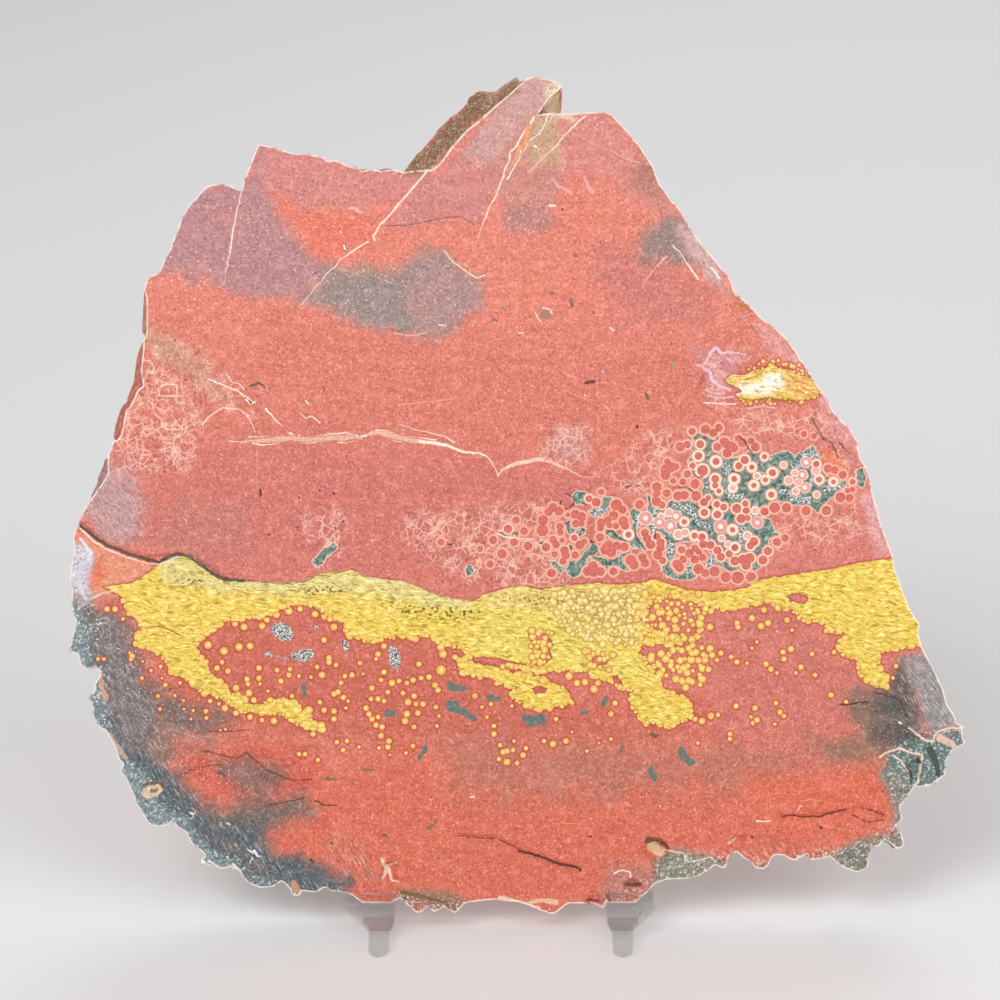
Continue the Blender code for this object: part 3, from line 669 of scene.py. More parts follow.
TEAL_QUARTZ = [
    [691, 436, 697, 433, 706, 436, 712, 440, 720, 433, 721, 437, 714, 442, 712, 451, 723, 456, 733, 458, 740, 457,
        748, 452, 754, 453, 759, 451, 771, 456, 778, 453, 787, 451, 794, 457, 806, 450, 814, 445, 817, 453, 821, 461,
        822, 470, 827, 477, 836, 481, 846, 481, 845, 486, 837, 493, 827, 500, 821, 510, 817, 513, 812, 506, 806, 505,
        794, 505, 784, 501, 778, 500, 768, 504, 759, 510, 762, 518, 771, 520, 773, 529, 778, 535, 769, 538, 767, 548,
        761, 556, 760, 568, 754, 572, 743, 573, 733, 571, 723, 568, 716, 563, 706, 567, 710, 560, 713, 554, 705, 546,
        693, 541, 684, 541, 676, 543, 668, 542, 662, 536, 652, 540, 648, 530, 650, 518, 657, 509, 668, 504, 671, 500,
        690, 501, 697, 507, 703, 506, 700, 497, 704, 489, 703, 480, 698, 474, 690, 470, 688, 462, 694, 452, 690, 446,
        696, 444],
    [664, 545, 674, 540, 676, 552, 672, 560, 670, 567, 676, 573, 683, 574, 688, 566, 693, 563, 697, 577, 688, 580,
        676, 579, 666, 575, 661, 569, 665, 560, 667, 550], [856, 470, 862, 468, 866, 478, 862, 488, 857, 484],
    [573, 494, 578, 491, 586, 492, 590, 496, 586, 500, 583, 504, 576, 504, 573, 499],
    [603, 498, 612, 497, 611, 502, 608, 507, 606, 511, 601, 516, 594, 516, 588, 512, 594, 509, 600, 507],
    [629, 512, 634, 509, 641, 512, 639, 520, 640, 526, 635, 529, 637, 536, 643, 543, 647, 551, 638, 548, 632, 548,
        629, 543, 620, 541, 613, 538, 606, 535, 605, 530, 613, 530, 620, 536, 624, 533, 631, 529, 634, 522],
    [585, 552, 590, 554, 588, 558, 584, 566, 581, 570, 580, 575, 574, 577, 568, 575, 567, 569, 570, 561, 576, 562,
        581, 559],
    [589, 556, 597, 557, 604, 558, 613, 559, 618, 556, 630, 551, 632, 553, 624, 557, 620, 561, 626, 566, 630, 571,
        622, 569, 616, 566, 607, 566, 607, 574, 604, 572, 603, 565, 596, 561],
    [550, 561, 556, 562, 559, 566, 565, 569, 561, 573, 556, 569, 551, 564],
    [648, 495, 652, 503, 660, 509, 660, 516, 655, 518, 654, 528, 656, 538, 660, 540, 656, 546, 652, 536, 650, 520,
        648, 508], [565, 523, 569, 521, 572, 527, 578, 530, 585, 529, 585, 534, 578, 537, 572, 535, 567, 531],
    [568, 544, 572, 545, 573, 549, 570, 551], [586, 551, 592, 544, 599, 547, 597, 553, 590, 556],
    [498, 530, 506, 531, 515, 532, 514, 536, 504, 536], [540, 541, 547, 541, 546, 545, 540, 545],
    [466, 566, 472, 565, 474, 571, 470, 576, 466, 574], [312, 562, 324, 549, 335, 543, 338, 548, 328, 556, 318, 568],
    [447, 681, 470, 688, 469, 692, 447, 690], [446, 701, 456, 700, 462, 708, 480, 719, 476, 722, 458, 714, 446, 710],
    [520, 713, 530, 716, 545, 714, 548, 726, 540, 724, 530, 728, 522, 720],
    [677, 747, 684, 748, 690, 758, 698, 762, 690, 766, 680, 758], [647, 764, 652, 766, 658, 778, 656, 784, 650, 778],
    [601, 705, 606, 694, 610, 696, 606, 706, 601, 708], [578, 711, 588, 710, 589, 715, 580, 715],
    [485, 693, 502, 698, 500, 702, 488, 700], [416, 759, 426, 744, 429, 748, 420, 761],
    [383, 712, 397, 709, 398, 714, 384, 718], [300, 684, 305, 682, 307, 696, 303, 698],
    [617, 756, 623, 742, 626, 744, 619, 758],
]
DRUSY = [
    [270, 630, 275, 623, 282, 622, 290, 626, 294, 634, 290, 641, 283, 642, 274, 636],
    [260, 654, 268, 652, 274, 654, 282, 657, 289, 655, 300, 650, 314, 649, 313, 656, 304, 663, 296, 660, 290, 657,
        284, 661, 276, 656, 266, 657], [341, 638, 348, 641, 350, 650, 344, 652],
    [388, 648, 396, 645, 401, 660, 398, 672, 390, 664], [309, 626, 319, 625, 319, 629, 310, 629],
    [722, 462, 727, 461, 731, 463, 731, 472, 728, 477, 724, 474, 722, 468], [704, 479, 708, 480, 709, 490, 706, 491],
    [726, 490, 731, 493, 738, 494, 744, 493, 742, 499, 734, 500, 727, 498],
    [778, 489, 789, 490, 796, 494, 806, 495, 812, 497, 811, 504, 800, 504, 792, 501, 786, 495, 779, 493],
    [789, 465, 796, 463, 801, 464, 800, 468, 791, 469], [757, 471, 766, 472, 768, 475, 760, 476],
    [801, 452, 812, 450, 819, 455, 817, 460, 808, 458, 802, 460], [810, 474, 815, 478, 811, 490, 808, 484],
    [820, 486, 828, 486, 838, 483, 846, 481, 841, 489, 830, 492, 822, 492],
    [671, 503, 680, 503, 690, 503, 696, 509, 698, 520, 710, 524, 713, 530, 706, 530, 694, 522, 690, 514, 680, 509,
        672, 508], [740, 524, 746, 526, 748, 532, 742, 538, 744, 547, 740, 545, 737, 537, 740, 532],
    [667, 542, 674, 544, 675, 551, 671, 557, 667, 555], [684, 563, 692, 565, 692, 572, 685, 574],
    [704, 565, 712, 555, 718, 562, 717, 566, 708, 568], [648, 512, 655, 518, 655, 530, 651, 533, 649, 522],
    [589, 511, 596, 510, 606, 508, 607, 511, 600, 516, 592, 515], [635, 512, 640, 513, 639, 526, 635, 528],
    [653, 507, 658, 508, 658, 512, 654, 512],
]

print(len(TEAL_QUARTZ), "patches of quartz and", len(DRUSY), "of crystals")

# %% Where the surface carries saw marks, pale threads, white specks, crust, dark pits or a net of pale lines
FROST = [
    [84, 468, 110, 462, 140, 466, 146, 520, 150, 548, 120, 544, 86, 522],
    [733, 318, 745, 312, 806, 366, 822, 384, 812, 392, 793, 368, 760, 340],
    [806, 405, 826, 404, 846, 430, 864, 464, 852, 472, 836, 450, 815, 420], [860, 498, 874, 492, 892, 552, 877, 556],
    [60, 600, 104, 604, 130, 640, 150, 700, 178, 778, 235, 822, 300, 876, 350, 884, 330, 930, 60, 930],
    [355, 825, 385, 880, 340, 884, 320, 840], [895, 655, 950, 650, 975, 760, 950, 790, 905, 740],
    [660, 850, 860, 840, 905, 820, 900, 890, 640, 905],
    [744, 312, 806, 360, 866, 440, 872, 470, 846, 456, 800, 390, 760, 344],
    [680, 228, 700, 238, 722, 270, 730, 296, 712, 284, 692, 262],
]
THREADS = [
    [148, 322, 200, 345, 262, 402, 262, 424, 215, 412, 195, 474, 112, 472, 108, 440, 128, 400, 150, 360],
    [532, 426, 566, 418, 592, 426, 594, 452, 584, 468, 556, 468, 536, 456],
    [398, 506, 480, 505, 560, 492, 572, 588, 480, 592, 440, 568, 402, 548],
    [696, 345, 760, 346, 786, 362, 752, 374, 724, 380, 730, 404, 776, 402, 780, 420, 720, 426, 692, 400],
    [640, 428, 700, 426, 690, 446, 664, 462, 650, 500, 610, 490, 640, 470],
    [300, 505, 345, 505, 350, 560, 315, 568, 296, 540], [770, 520, 870, 500, 880, 540, 780, 560],
    [806, 402, 830, 404, 870, 470, 866, 480, 846, 476, 820, 446],
]
SPECKS = [
    [172, 240, 200, 262, 248, 290, 250, 300, 200, 292, 150, 290, 160, 262], [300, 262, 480, 262, 480, 330, 330, 330],
    [230, 190, 262, 196, 290, 240, 282, 262, 240, 250], [497, 196, 560, 196, 560, 240, 500, 236],
    [90, 600, 150, 640, 200, 720, 260, 800, 180, 780, 120, 700],
]
CRUST = [
    [50, 596, 92, 600, 104, 620, 98, 652, 104, 672, 108, 700, 112, 732, 128, 758, 150, 776, 164, 800, 190, 815, 200,
        838, 214, 850, 236, 856, 250, 872, 300, 886, 345, 890, 340, 930, 40, 930],
    [655, 858, 680, 850, 712, 858, 740, 850, 760, 862, 800, 852, 850, 846, 890, 826, 910, 820, 910, 890, 640, 910],
    [905, 728, 965, 726, 968, 752, 940, 790, 910, 800, 880, 772, 890, 752],
    [395, 892, 455, 900, 560, 908, 600, 898, 650, 880, 650, 920, 380, 920],
    [400, 172, 424, 142, 452, 108, 490, 78, 526, 66, 522, 80, 512, 90, 472, 128, 432, 170],
    [68, 548, 84, 544, 92, 553, 86, 566, 84, 582, 94, 600, 80, 608, 68, 590],
    [544, 90, 560, 80, 568, 90, 566, 116, 545, 114], [882, 766, 898, 772, 908, 780, 914, 850, 890, 850, 896, 812],
]
PITS = [
    [168, 576, 180, 572, 196, 574, 206, 580, 200, 588, 178, 588], [292, 588, 330, 584, 360, 588, 340, 596, 300, 596],
    [376, 600, 420, 602, 470, 606, 490, 614, 470, 624, 430, 622, 390, 612], [480, 596, 560, 592, 600, 600, 540, 606],
]
CELLS = [
    [98, 476, 110, 424, 126, 382, 136, 346, 160, 352, 195, 398, 204, 428, 186, 474],
    [398, 524, 440, 508, 500, 505, 560, 494, 566, 588, 500, 592, 440, 568, 404, 550],
    [640, 430, 690, 430, 664, 462, 650, 490, 620, 500, 598, 486], [768, 512, 860, 500, 866, 530, 790, 548, 770, 560],
    [314, 508, 346, 504, 354, 545, 318, 558], [536, 430, 590, 422, 594, 462, 560, 472, 538, 456],
    [720, 406, 820, 408, 850, 470, 830, 476, 800, 440, 740, 436],
]


def zone_gap(outlines):
    """The distance to any of these outlines, on the slab's face."""
    return joined_distance(markings[:, :2], [on_slab(trail) for trail in outlines])


mark_gaps = np.column_stack([zone_gap(outlines) for outlines in (FROST, THREADS, SPECKS)])
cover_gaps = np.column_stack([zone_gap(outlines) for outlines in (CRUST, PITS, CELLS)])
print("corners with saw marks, threads, specks:", (mark_gaps < 0).sum(axis=0))
print("corners with crust, pits, pale nets:", (cover_gaps < 0).sum(axis=0))

# %% Bands and quartz
yellow_gap = np.maximum(zone_gap([YELLOW_BAND, YELLOW_PATCH]), -zone_gap(RED_GAPS))
teal_gap, drusy_gap = zone_gap(TEAL_QUARTZ), zone_gap(DRUSY)
band_colours = clouded(markings, (236, 202, 88), BAND_CLOUDS, 11)
print("in the yellow band:", int((yellow_gap < 0).sum()), "corners; in green-grey quartz:", int((teal_gap < 0).sum()))

# %% [markdown]
# ## Orbs
# Each orb is a ball of quartz needles that the saw cut through. A circle needs a sharp edge, so every triangle
# remembers the centre, the radius and the colours of the orb nearest to it, and the shader works out the
# circle from them. Most orbs are listed one by one, and crowds of small ones are scattered by a seeded rule.

# %% Orbs listed one by one, as x, y, outer radius and core radius in picture steps
RED_ORBS = [
    700.2, 444.3, 5.6, 3.8, 698.4, 455.9, 6.2, 3.7, 716, 461.5, 6.3, 3.4, 692.5, 465.7, 4.4, 3, 702.6, 470.6, 7.4, 5.3,
    717.4, 446.8, 5.6, 3.9, 724.4, 442.5, 6.4, 5, 730.7, 446.8, 6.8, 5.4, 727.2, 453, 6, 4.6, 734.2, 448.2, 5.4, 4,
    742.6, 442.5, 6, 4.6, 738.4, 438.3, 4.8, 3.5, 751, 441.1, 4.8, 3.5, 755.3, 446.8, 6, 4.5, 713.2, 432.7, 5.6, 4.2,
    705.4, 429.2, 6, 4.6, 718.8, 427.8, 5.4, 4, 692.1, 431.3, 5, 3.6, 687.2, 444.6, 5, 3.6, 680.2, 446.8, 6, 4.6,
    738.8, 466, 5.4, 3.5, 744.7, 460, 6, 4, 751.8, 467.1, 5.5, 2.5, 734.2, 479, 6, 2.8, 715.3, 479, 6.2, 3.8,
    715.3, 485.4, 5.4, 3, 718.8, 491, 4.6, 2.4, 753.9, 485.4, 5.7, 2.6, 687.2, 474.1, 5.2, 3.7, 694.9, 483.9, 6.3, 4.6,
    673.2, 481.1, 4.3, 2.9, 683, 481.8, 4.8, 3.5, 666.1, 469.9, 7, 5.6, 671, 467.1, 6.4, 5, 676, 466.4, 4.6, 3.2,
    667.5, 461.5, 4.8, 3.3, 665.4, 475.5, 6, 4.5, 659.1, 485.7, 4.7, 2.5, 666.8, 493.1, 5.2, 3.8, 656, 494.5, 4.4, 3,
    656.3, 501.5, 6, 4.6, 661.9, 505, 5, 3.6, 678, 495.9, 6, 4.5, 684.4, 495.2, 5.8, 4.3, 696.3, 495.9, 6.2, 5,
    704, 502.2, 5.4, 4, 708.2, 498, 4.2, 2.8, 704.4, 512.6, 5.8, 3.6, 716.7, 504.3, 5, 3.2, 717.4, 514.5, 5.9, 3.8,
    723.7, 507.1, 5, 3.4, 736.7, 508.5, 6, 4.5, 745.4, 503.6, 4.6, 3.1, 746.1, 510.6, 4.8, 3.4, 741.2, 518.6, 6, 4.5,
    747.5, 518, 4.4, 3, 764.4, 456.7, 4.7, 2.6, 772.5, 472.8, 6, 3.4, 765.4, 479.8, 5, 2.4, 771.4, 494.6, 5.7, 3,
    816.3, 464, 5, 3, 819.1, 479.5, 5.5, 2.9, 833.5, 481.9, 5.2, 2.3, 852.5, 481.9, 4.7, 2.8, 847.5, 490.4, 4.2, 2.8,
    852.5, 489.6, 4.2, 2.8, 826.5, 510.6, 6, 4.6, 786.5, 507.9, 6, 4.6, 806, 511, 6, 4.6, 764.7, 511.4, 5.6, 4,
    774.6, 507.6, 6.6, 5.2, 840.5, 497.4, 6.4, 5, 849.6, 498, 5.4, 4, 827.9, 468.6, 5.4, 4, 834.9, 470, 5.2, 3.8,
    842.6, 474.9, 5.4, 4, 684.4, 521.8, 5.2, 2.6, 694.6, 535.8, 5.6, 3, 701.9, 537.2, 6, 3.6, 732.5, 529.8, 5.8, 2.5,
    753.9, 541.6, 6, 4.2, 750.4, 545.8, 5.4, 3.4, 734.9, 547.7, 6, 3.4, 729.3, 554, 5, 3.6, 681.6, 549.8, 5.8, 3.5,
    677, 563.9, 6.6, 4.4, 679.5, 567.4, 6.6, 4.4, 683, 559.6, 5.2, 3.8, 694.9, 559.6, 5.6, 4.2, 702.6, 557.5, 5, 3.6,
    689.3, 553.3, 5.6, 4.2, 694.9, 548.4, 5, 3.6, 699, 552, 4.6, 3.2, 703.3, 544.2, 5.6, 4.2, 710.4, 544.9, 5.4, 4,
    717.4, 550.5, 5.4, 4, 720.9, 556.8, 5.4, 4, 660.5, 542.8, 5.6, 4.2, 660.5, 547.7, 5.6, 4.2, 651.4, 544.9, 5.4, 4,
    662.6, 560.4, 5, 3.6, 657.7, 554.7, 6, 4.6, 734.9, 561, 6, 4.5, 743.3, 559.6, 6.4, 5, 749.6, 558.2, 6.4, 5,
    746.1, 565.3, 6, 4.5, 698.4, 569, 6.4, 5, 705.4, 573, 5.4, 4, 714.6, 571.6, 6.4, 5, 725.8, 577, 6.4, 5,
    737.7, 577.5, 7.4, 6, 751, 577, 6.4, 5, 763, 560, 6, 4.4, 768, 551, 5.6, 4, 777, 542, 5.6, 4, 785, 538, 5, 3.6,
    601.2, 491.9, 4.6, 3.2, 589, 498.7, 5, 3.5, 596.2, 502.2, 5.8, 4.3, 575.2, 514.4, 6, 4.6, 581.7, 516.7, 6, 4.6,
    576, 523.6, 5.4, 3.9, 581.3, 523.2, 5, 3.5, 567.9, 514.8, 3.8, 2.4, 553, 507.5, 5.8, 4.5, 559, 511, 5.8, 4.5,
    548.4, 512, 5.2, 4, 543, 520.2, 6.2, 5, 559.9, 526.4, 5, 3.7, 560.3, 532.4, 4.6, 3.2, 542.3, 530.4, 7, 5.8,
    600, 537.4, 5.4, 4, 601.2, 522.8, 5.6, 4.2, 600.4, 527.8, 5, 3.6, 607.3, 520.5, 5.4, 4, 609.6, 525.2, 4.4, 3.1,
    615.7, 525.9, 4.4, 3.1, 623.4, 521.3, 6.4, 4.9, 625, 525.6, 5.6, 4, 613.4, 515.6, 5.8, 4.6, 628.4, 534.7, 6, 3,
    644.8, 532.8, 5.4, 4, 647, 538.4, 5.4, 4, 650.2, 544.4, 5.8, 4.4, 657, 536.5, 5, 3.6, 574.4, 538, 4.8, 3.3,
    579.8, 545, 5.8, 4.5, 575.2, 555, 5, 3.6, 584.4, 541.6, 4.4, 3, 562.2, 540.4, 4, 2.6, 553, 539.7, 5.2, 3.8,
    556, 544.6, 5, 3.6, 564.5, 550.4, 5.4, 4.1, 565.6, 555.4, 5.4, 4.1, 554.5, 554.2, 4.4, 3.1, 546, 547.3, 5.6, 4.3,
    563, 561.4, 4.8, 3.4, 607.3, 547, 6.4, 5, 605, 550, 6, 4.6, 616.5, 546, 5.8, 4.4, 624.2, 547, 5.8, 4.3,
    611.2, 552.4, 6.2, 4.9, 608.9, 544, 5, 3.6, 631, 560.3, 6.8, 5.4, 634, 565, 5.8, 4.5, 642.5, 557.3, 5.4, 4.1,
    613.5, 571.4, 5.4, 4, 592.8, 566.4, 6.4, 5, 587.4, 571.4, 5.8, 4.5, 593.6, 572.4, 5.8, 4.5, 600.4, 571.4, 5.8, 4.5,
    551.5, 573, 5.6, 4.3, 657, 487, 6.2, 4.8, 657, 493.4, 5, 3.5, 639.5, 504.5, 5.8, 4.5, 622.6, 509.6, 5.4, 4,
    616.5, 505, 7, 5.6, 645, 563, 5.6, 4.2, 508, 529, 5.6, 4.2, 524, 531, 5.2, 3.8, 441, 542, 5, 3.4, 480, 549, 4.4, 3,
    502, 554, 6, 4.6, 490, 564, 5, 3.6, 493, 540, 5.4, 4, 514, 542, 5.4, 4, 528, 546, 5.6, 4.2, 516, 520, 5, 3.6,
    804, 434, 4.4, 3, 814, 436, 4.4, 3,
]
PALE_ORBS = [
    788.6, 480.5, 5, 3.6, 783.7, 465, 4, 2.6, 794.9, 472.8, 4, 2.4, 798.4, 482.3, 4.6, 3.2, 795.6, 491, 4.3, 2.6,
    732.8, 487.8, 5, 2.4, 816, 471, 4.8, 3.4, 678.4, 534.4, 5.5, 3.6, 661.2, 516.5, 4, 2.2, 668.9, 512.6, 4.6, 3,
    685, 532.3, 4.6, 3, 721.6, 538.2, 4, 2.4, 727.9, 544.2, 3.8, 2.4, 747.5, 535.8, 4.8, 3, 755.3, 510.5, 4.4, 2.6,
    816.7, 494.6, 4, 2.6, 757, 476, 4, 2.4,
]
WHITE_ORBS = [
    806.1, 462.3, 4.8, 2.4, 802.3, 474.9, 4.7, 2.4, 805, 487.5, 4.7, 2.3, 670, 526, 6, 3.2, 676, 516.1, 5.2, 2.9,
    720.5, 526.3, 6.2, 2.6, 645.6, 518.2, 6.4, 2.6, 659.4, 522.4, 5.4, 2.4, 757.4, 522.5, 5.6, 2.4,
]
YELLOW_ORBS = [
    267, 620, 3, 262, 626, 3.5, 244, 627, 3.5, 235, 624, 3, 208, 645, 4, 239, 647, 4, 250, 646, 3.5, 224, 651, 4,
    222, 662, 2.5, 217, 668, 3, 228, 671, 3, 206, 662, 3, 220, 682, 4, 236, 688, 3.5, 247, 679, 3, 248, 684, 2.5,
    249, 693, 3.5, 259, 668, 3, 259, 678, 3, 260, 684, 2, 268, 691, 2, 277, 670, 2.5, 290, 669, 2.5, 289, 675, 3,
    281, 681, 3, 299, 676, 2, 311, 677, 2, 317, 667, 2.5, 322, 675, 3.5, 329, 658, 3, 329, 662, 3, 336, 665, 2.5,
    324, 640, 3, 334, 627, 3.5, 289, 611, 4, 300, 609, 3, 315, 614, 3.5, 324, 617, 3, 330, 619, 3, 345, 676, 2.5,
    352, 675, 3, 341, 683, 2.5, 334, 694, 3, 338, 692, 3, 344, 697, 2.5, 348, 701, 2, 320, 702, 2.5, 324, 710, 3,
    334, 711, 3, 346, 708, 2, 334, 719, 3, 309, 710, 4, 306, 711, 3, 311, 716, 2, 292, 696, 2.5, 313, 734, 3,
    297, 724, 2, 274, 721, 3.5, 262, 720, 2.5, 250, 717, 3, 236, 713, 3, 225, 708, 3.5, 219, 704, 2, 210, 701, 2.5,
    206, 711, 2.5, 232, 704, 3, 254, 700, 3, 180, 683, 2, 184, 709, 1.5, 191, 719, 1.5, 158, 696, 2, 160, 709, 2,
    132, 656, 3, 142, 678, 2, 123, 619, 2, 104, 659, 2, 98, 659, 2, 107, 609, 3, 115, 609, 3, 337, 742, 2.5,
    347, 741, 2.5, 343, 750, 2.5, 299, 754, 2.5, 305, 754, 2.5, 318, 760, 2.5, 441, 647, 4, 443, 654, 4, 455, 657, 3,
    441, 670, 5, 462, 673, 3, 480, 677, 3, 497, 683, 3, 419, 664, 3, 429, 677, 3, 421, 678, 2.5, 413, 680, 3,
    407, 683, 2.5, 399, 681, 2.5, 392, 683, 3.5, 384, 672, 3, 381, 680, 2.5, 388, 692, 2.5, 403, 693, 2.5,
    414, 696, 3, 372, 688, 3, 378, 654, 3, 376, 659, 2, 384, 646, 3, 360, 663, 2.5, 378, 699, 3, 384, 701, 2.5,
    371, 699, 2.5, 408, 702, 3.5, 416, 704, 2.5, 423, 704, 3, 418, 713, 3, 435, 685, 3, 438, 690, 3, 436, 707, 2.5,
    439, 716, 2, 437, 726, 2, 407, 714, 3.5, 405, 721, 3.5, 414, 727, 2.5, 366, 708, 3, 369, 714, 3, 372, 719, 3,
    378, 717, 2.5, 376, 725, 3, 382, 727, 3, 381, 736, 3, 379, 748, 2, 389, 741, 3, 388, 747, 3, 390, 755, 1.5,
    413, 746, 2.5, 406, 753, 2, 359, 747, 2, 343, 698, 2.5, 346, 708, 1.5, 363, 674, 1.5, 475, 696, 3, 482, 707, 2,
    491, 704, 2.5, 494, 734, 3, 494, 726, 2.5, 487, 717, 2, 512, 706, 2, 500, 745, 2.5, 514, 741, 2, 513, 750, 2.5,
    503, 752, 3, 507, 751, 3, 499, 759, 2.5, 507, 762, 3.5, 517, 763, 2.5, 523, 755, 3, 526, 748, 2.5, 544, 741, 2.5,
    553, 744, 3.5, 566, 741, 3, 556, 719, 2.5, 572, 703, 2.5, 577, 683, 3.5, 585, 682, 3.5, 569, 676, 4, 594, 689, 4,
    598, 683, 3, 611, 714, 3, 615, 703, 3, 572, 732, 1.5, 611, 739, 2, 599, 743, 1.5, 587, 751, 2, 710, 627, 3.5,
    721, 653, 3, 717, 660, 2.5, 705, 660, 3.5, 731, 657, 2.5, 737, 662, 3, 747, 663, 2, 766, 664, 3, 771, 669, 3,
    777, 673, 2, 783, 652, 3, 784, 659, 3, 791, 649, 3.5, 812, 654, 2.5, 801, 667, 3, 796, 673, 2, 815, 675, 2.5,
    737, 623, 3, 738, 627, 3, 752, 618, 3.5, 761, 626, 3.5, 768, 623, 3.5, 764, 610, 3, 787, 620, 3, 799, 618, 2.5,
    792, 630, 2, 757, 642, 2, 752, 648, 2, 826, 631, 2.5, 834, 652, 2.5, 736, 706, 3, 755, 708, 3, 776, 703, 2.5,
    780, 712, 3, 784, 716, 2.5, 757, 720, 3, 753, 723, 2.5, 751, 717, 2, 775, 724, 2, 831, 695, 3, 846, 702, 2.5,
    718, 715, 2.5, 711, 716, 3.5, 702, 721, 3.5, 695, 719, 3, 677, 719, 3, 670, 724, 4, 653, 720, 3.5, 642, 719, 3,
    646, 724, 3, 730, 734, 2.5, 730, 739, 2.5, 698, 743, 2, 896, 666, 2.5, 912, 646, 3, 893, 678, 2,
]

print(len(RED_ORBS) // 4, "red orbs and", len(YELLOW_ORBS) // 3, "yellow ones by eye")

# %% Scatter the crowds
CROWD_PUSH, BEAD_PUSH = 0.42, 0.3  # how far an orb may leave its place, as a share of the spacing


def crowd(trail, spacing, least, most, seed):
    """Orbs inside an outline: a lattice of that spacing, each place pushed a little, with random radii."""
    outline = np.asarray(trail, float).reshape(-1, 2)
    low, high = outline.min(axis=0), outline.max(axis=0)
    x, y = np.meshgrid(np.arange(low[0], high[0], spacing), np.arange(low[1], high[1], ROW_STEP * spacing))
    x[1::2] += spacing / 2
    drawn = np.random.default_rng(seed)
    places = np.column_stack([x.ravel(), y.ravel()]) + drawn.uniform(-CROWD_PUSH, CROWD_PUSH, (x.size, 2)) * spacing
    places = places[outline_distance(places, outline) < 0]
    return np.column_stack([places, drawn.uniform(least, most, len(places))])


def beads(trail, spacing, least, most, seed):
    """Orbs along a trail, about one spacing apart, each pushed a little off it."""
    places = np.asarray(trail, float).reshape(-1, 2)
    run = np.concatenate([[0], np.cumsum(np.hypot(*np.diff(places, axis=0).T))])
    steps = np.arange(0, run[-1], spacing)
    drawn = np.random.default_rng(seed)
    made = np.column_stack([np.interp(steps, run, places[:, 0]), np.interp(steps, run, places[:, 1])])
    made += drawn.uniform(-BEAD_PUSH, BEAD_PUSH, made.shape) * spacing
    return np.column_stack([made, drawn.uniform(least, most, len(made))])


lower_edge = YELLOW_BAND[YELLOW_BAND.index(918):]
yellow_orbs = np.vstack([
    np.reshape(YELLOW_ORBS, (-1, 3)),
    beads(lower_edge, 4.4, 1.6, 4.0, 31),
    crowd([455, 656, 500, 664, 500, 680, 460, 672], 7.5, 2.6, 3.8, 35),
    crowd([130, 620, 200, 700, 240, 745, 170, 700, 120, 650], 16.0, 1.4, 2.4, 36),
    crowd([744, 372, 764, 360, 790, 358, 812, 370, 826, 392, 800, 404, 742, 406, 730, 398, 780, 396, 800, 378],
          6.0, 1.2, 2.4, 39),
])
bold_orbs = np.vstack([
    crowd([640, 592, 672, 590, 700, 594, 712, 612, 704, 636, 690, 642, 664, 642, 642, 640, 630, 612],
          7.0, 1.8, 3.8, 32),
    crowd([646, 648, 672, 644, 716, 640, 714, 660, 706, 682, 690, 690, 668, 680, 650, 668], 7.4, 1.9, 4.0, 33),
    crowd([527, 630, 552, 632, 554, 664, 530, 664], 6.4, 1.7, 3.5, 34),
    crowd([584, 650, 612, 650, 616, 670, 590, 672], 7.0, 2.2, 3.2, 37),
])
grains = crowd([554, 592, 640, 586, 648, 600, 640, 646, 600, 644, 570, 636, 550, 614], 5.2, 1.3, 3.3, 38)


print(len(yellow_orbs), "yellow orbs,", len(bold_orbs), "bold ones,", len(grains), "grains")

# %% The colours of the orbs
CORE_SHARE, FADE_WIDTH, FADE_SHARE = 0.55, 1.3, 0.85


def orb_rows(orbs, core, ring, halo, bold=False):
    """Orbs in picture steps as strokes of no length in millimetres: outer and core radius, three colours, and
    whether they also show inside the yellow band."""
    places, radii = on_slab(orbs[:, :2]), orbs[:, 2:] * PICTURE_STEP
    looks = np.tile(np.append(linear(core, ring, halo), float(bold)), (len(orbs), 1))
    return np.hstack([places, places, radii, looks])


ringed = np.reshape(RED_ORBS, (-1, 4))
inner, bold, small = (np.column_stack([made, made[:, 2] * CORE_SHARE]) for made in (yellow_orbs, bold_orbs, grains))
red_rows = orb_rows(ringed, (211, 112, 101), (248, 221, 198), (232, 156, 136))
from_quartz = joined_distance(on_slab(ringed[:, :2]), [on_slab(trail) for trail in TEAL_QUARTZ])
far_share = np.clip(from_quartz / FADE_WIDTH, 0, 1)
red_rows[:, 9:12] += (linear((236, 172, 148)) - red_rows[:, 9:12]) * far_share[:, None] * FADE_SHARE
orbs = np.vstack([
    red_rows,
    orb_rows(np.reshape(PALE_ORBS, (-1, 4)), (240, 178, 166), (250, 232, 216), (226, 150, 132)),
    orb_rows(np.reshape(WHITE_ORBS, (-1, 4)), (250, 238, 228), (236, 150, 144), (250, 228, 210)),
    orb_rows(inner, (250, 220, 142), (236, 176, 78), (172, 52, 32)),
    orb_rows(bold, (250, 224, 128), (240, 196, 84), (168, 84, 40), True),
    orb_rows(small, (252, 238, 168), (240, 212, 112), (168, 130, 56), True),
])
print(len(orbs), "orbs,", len(yellow_orbs), "of them yellow")
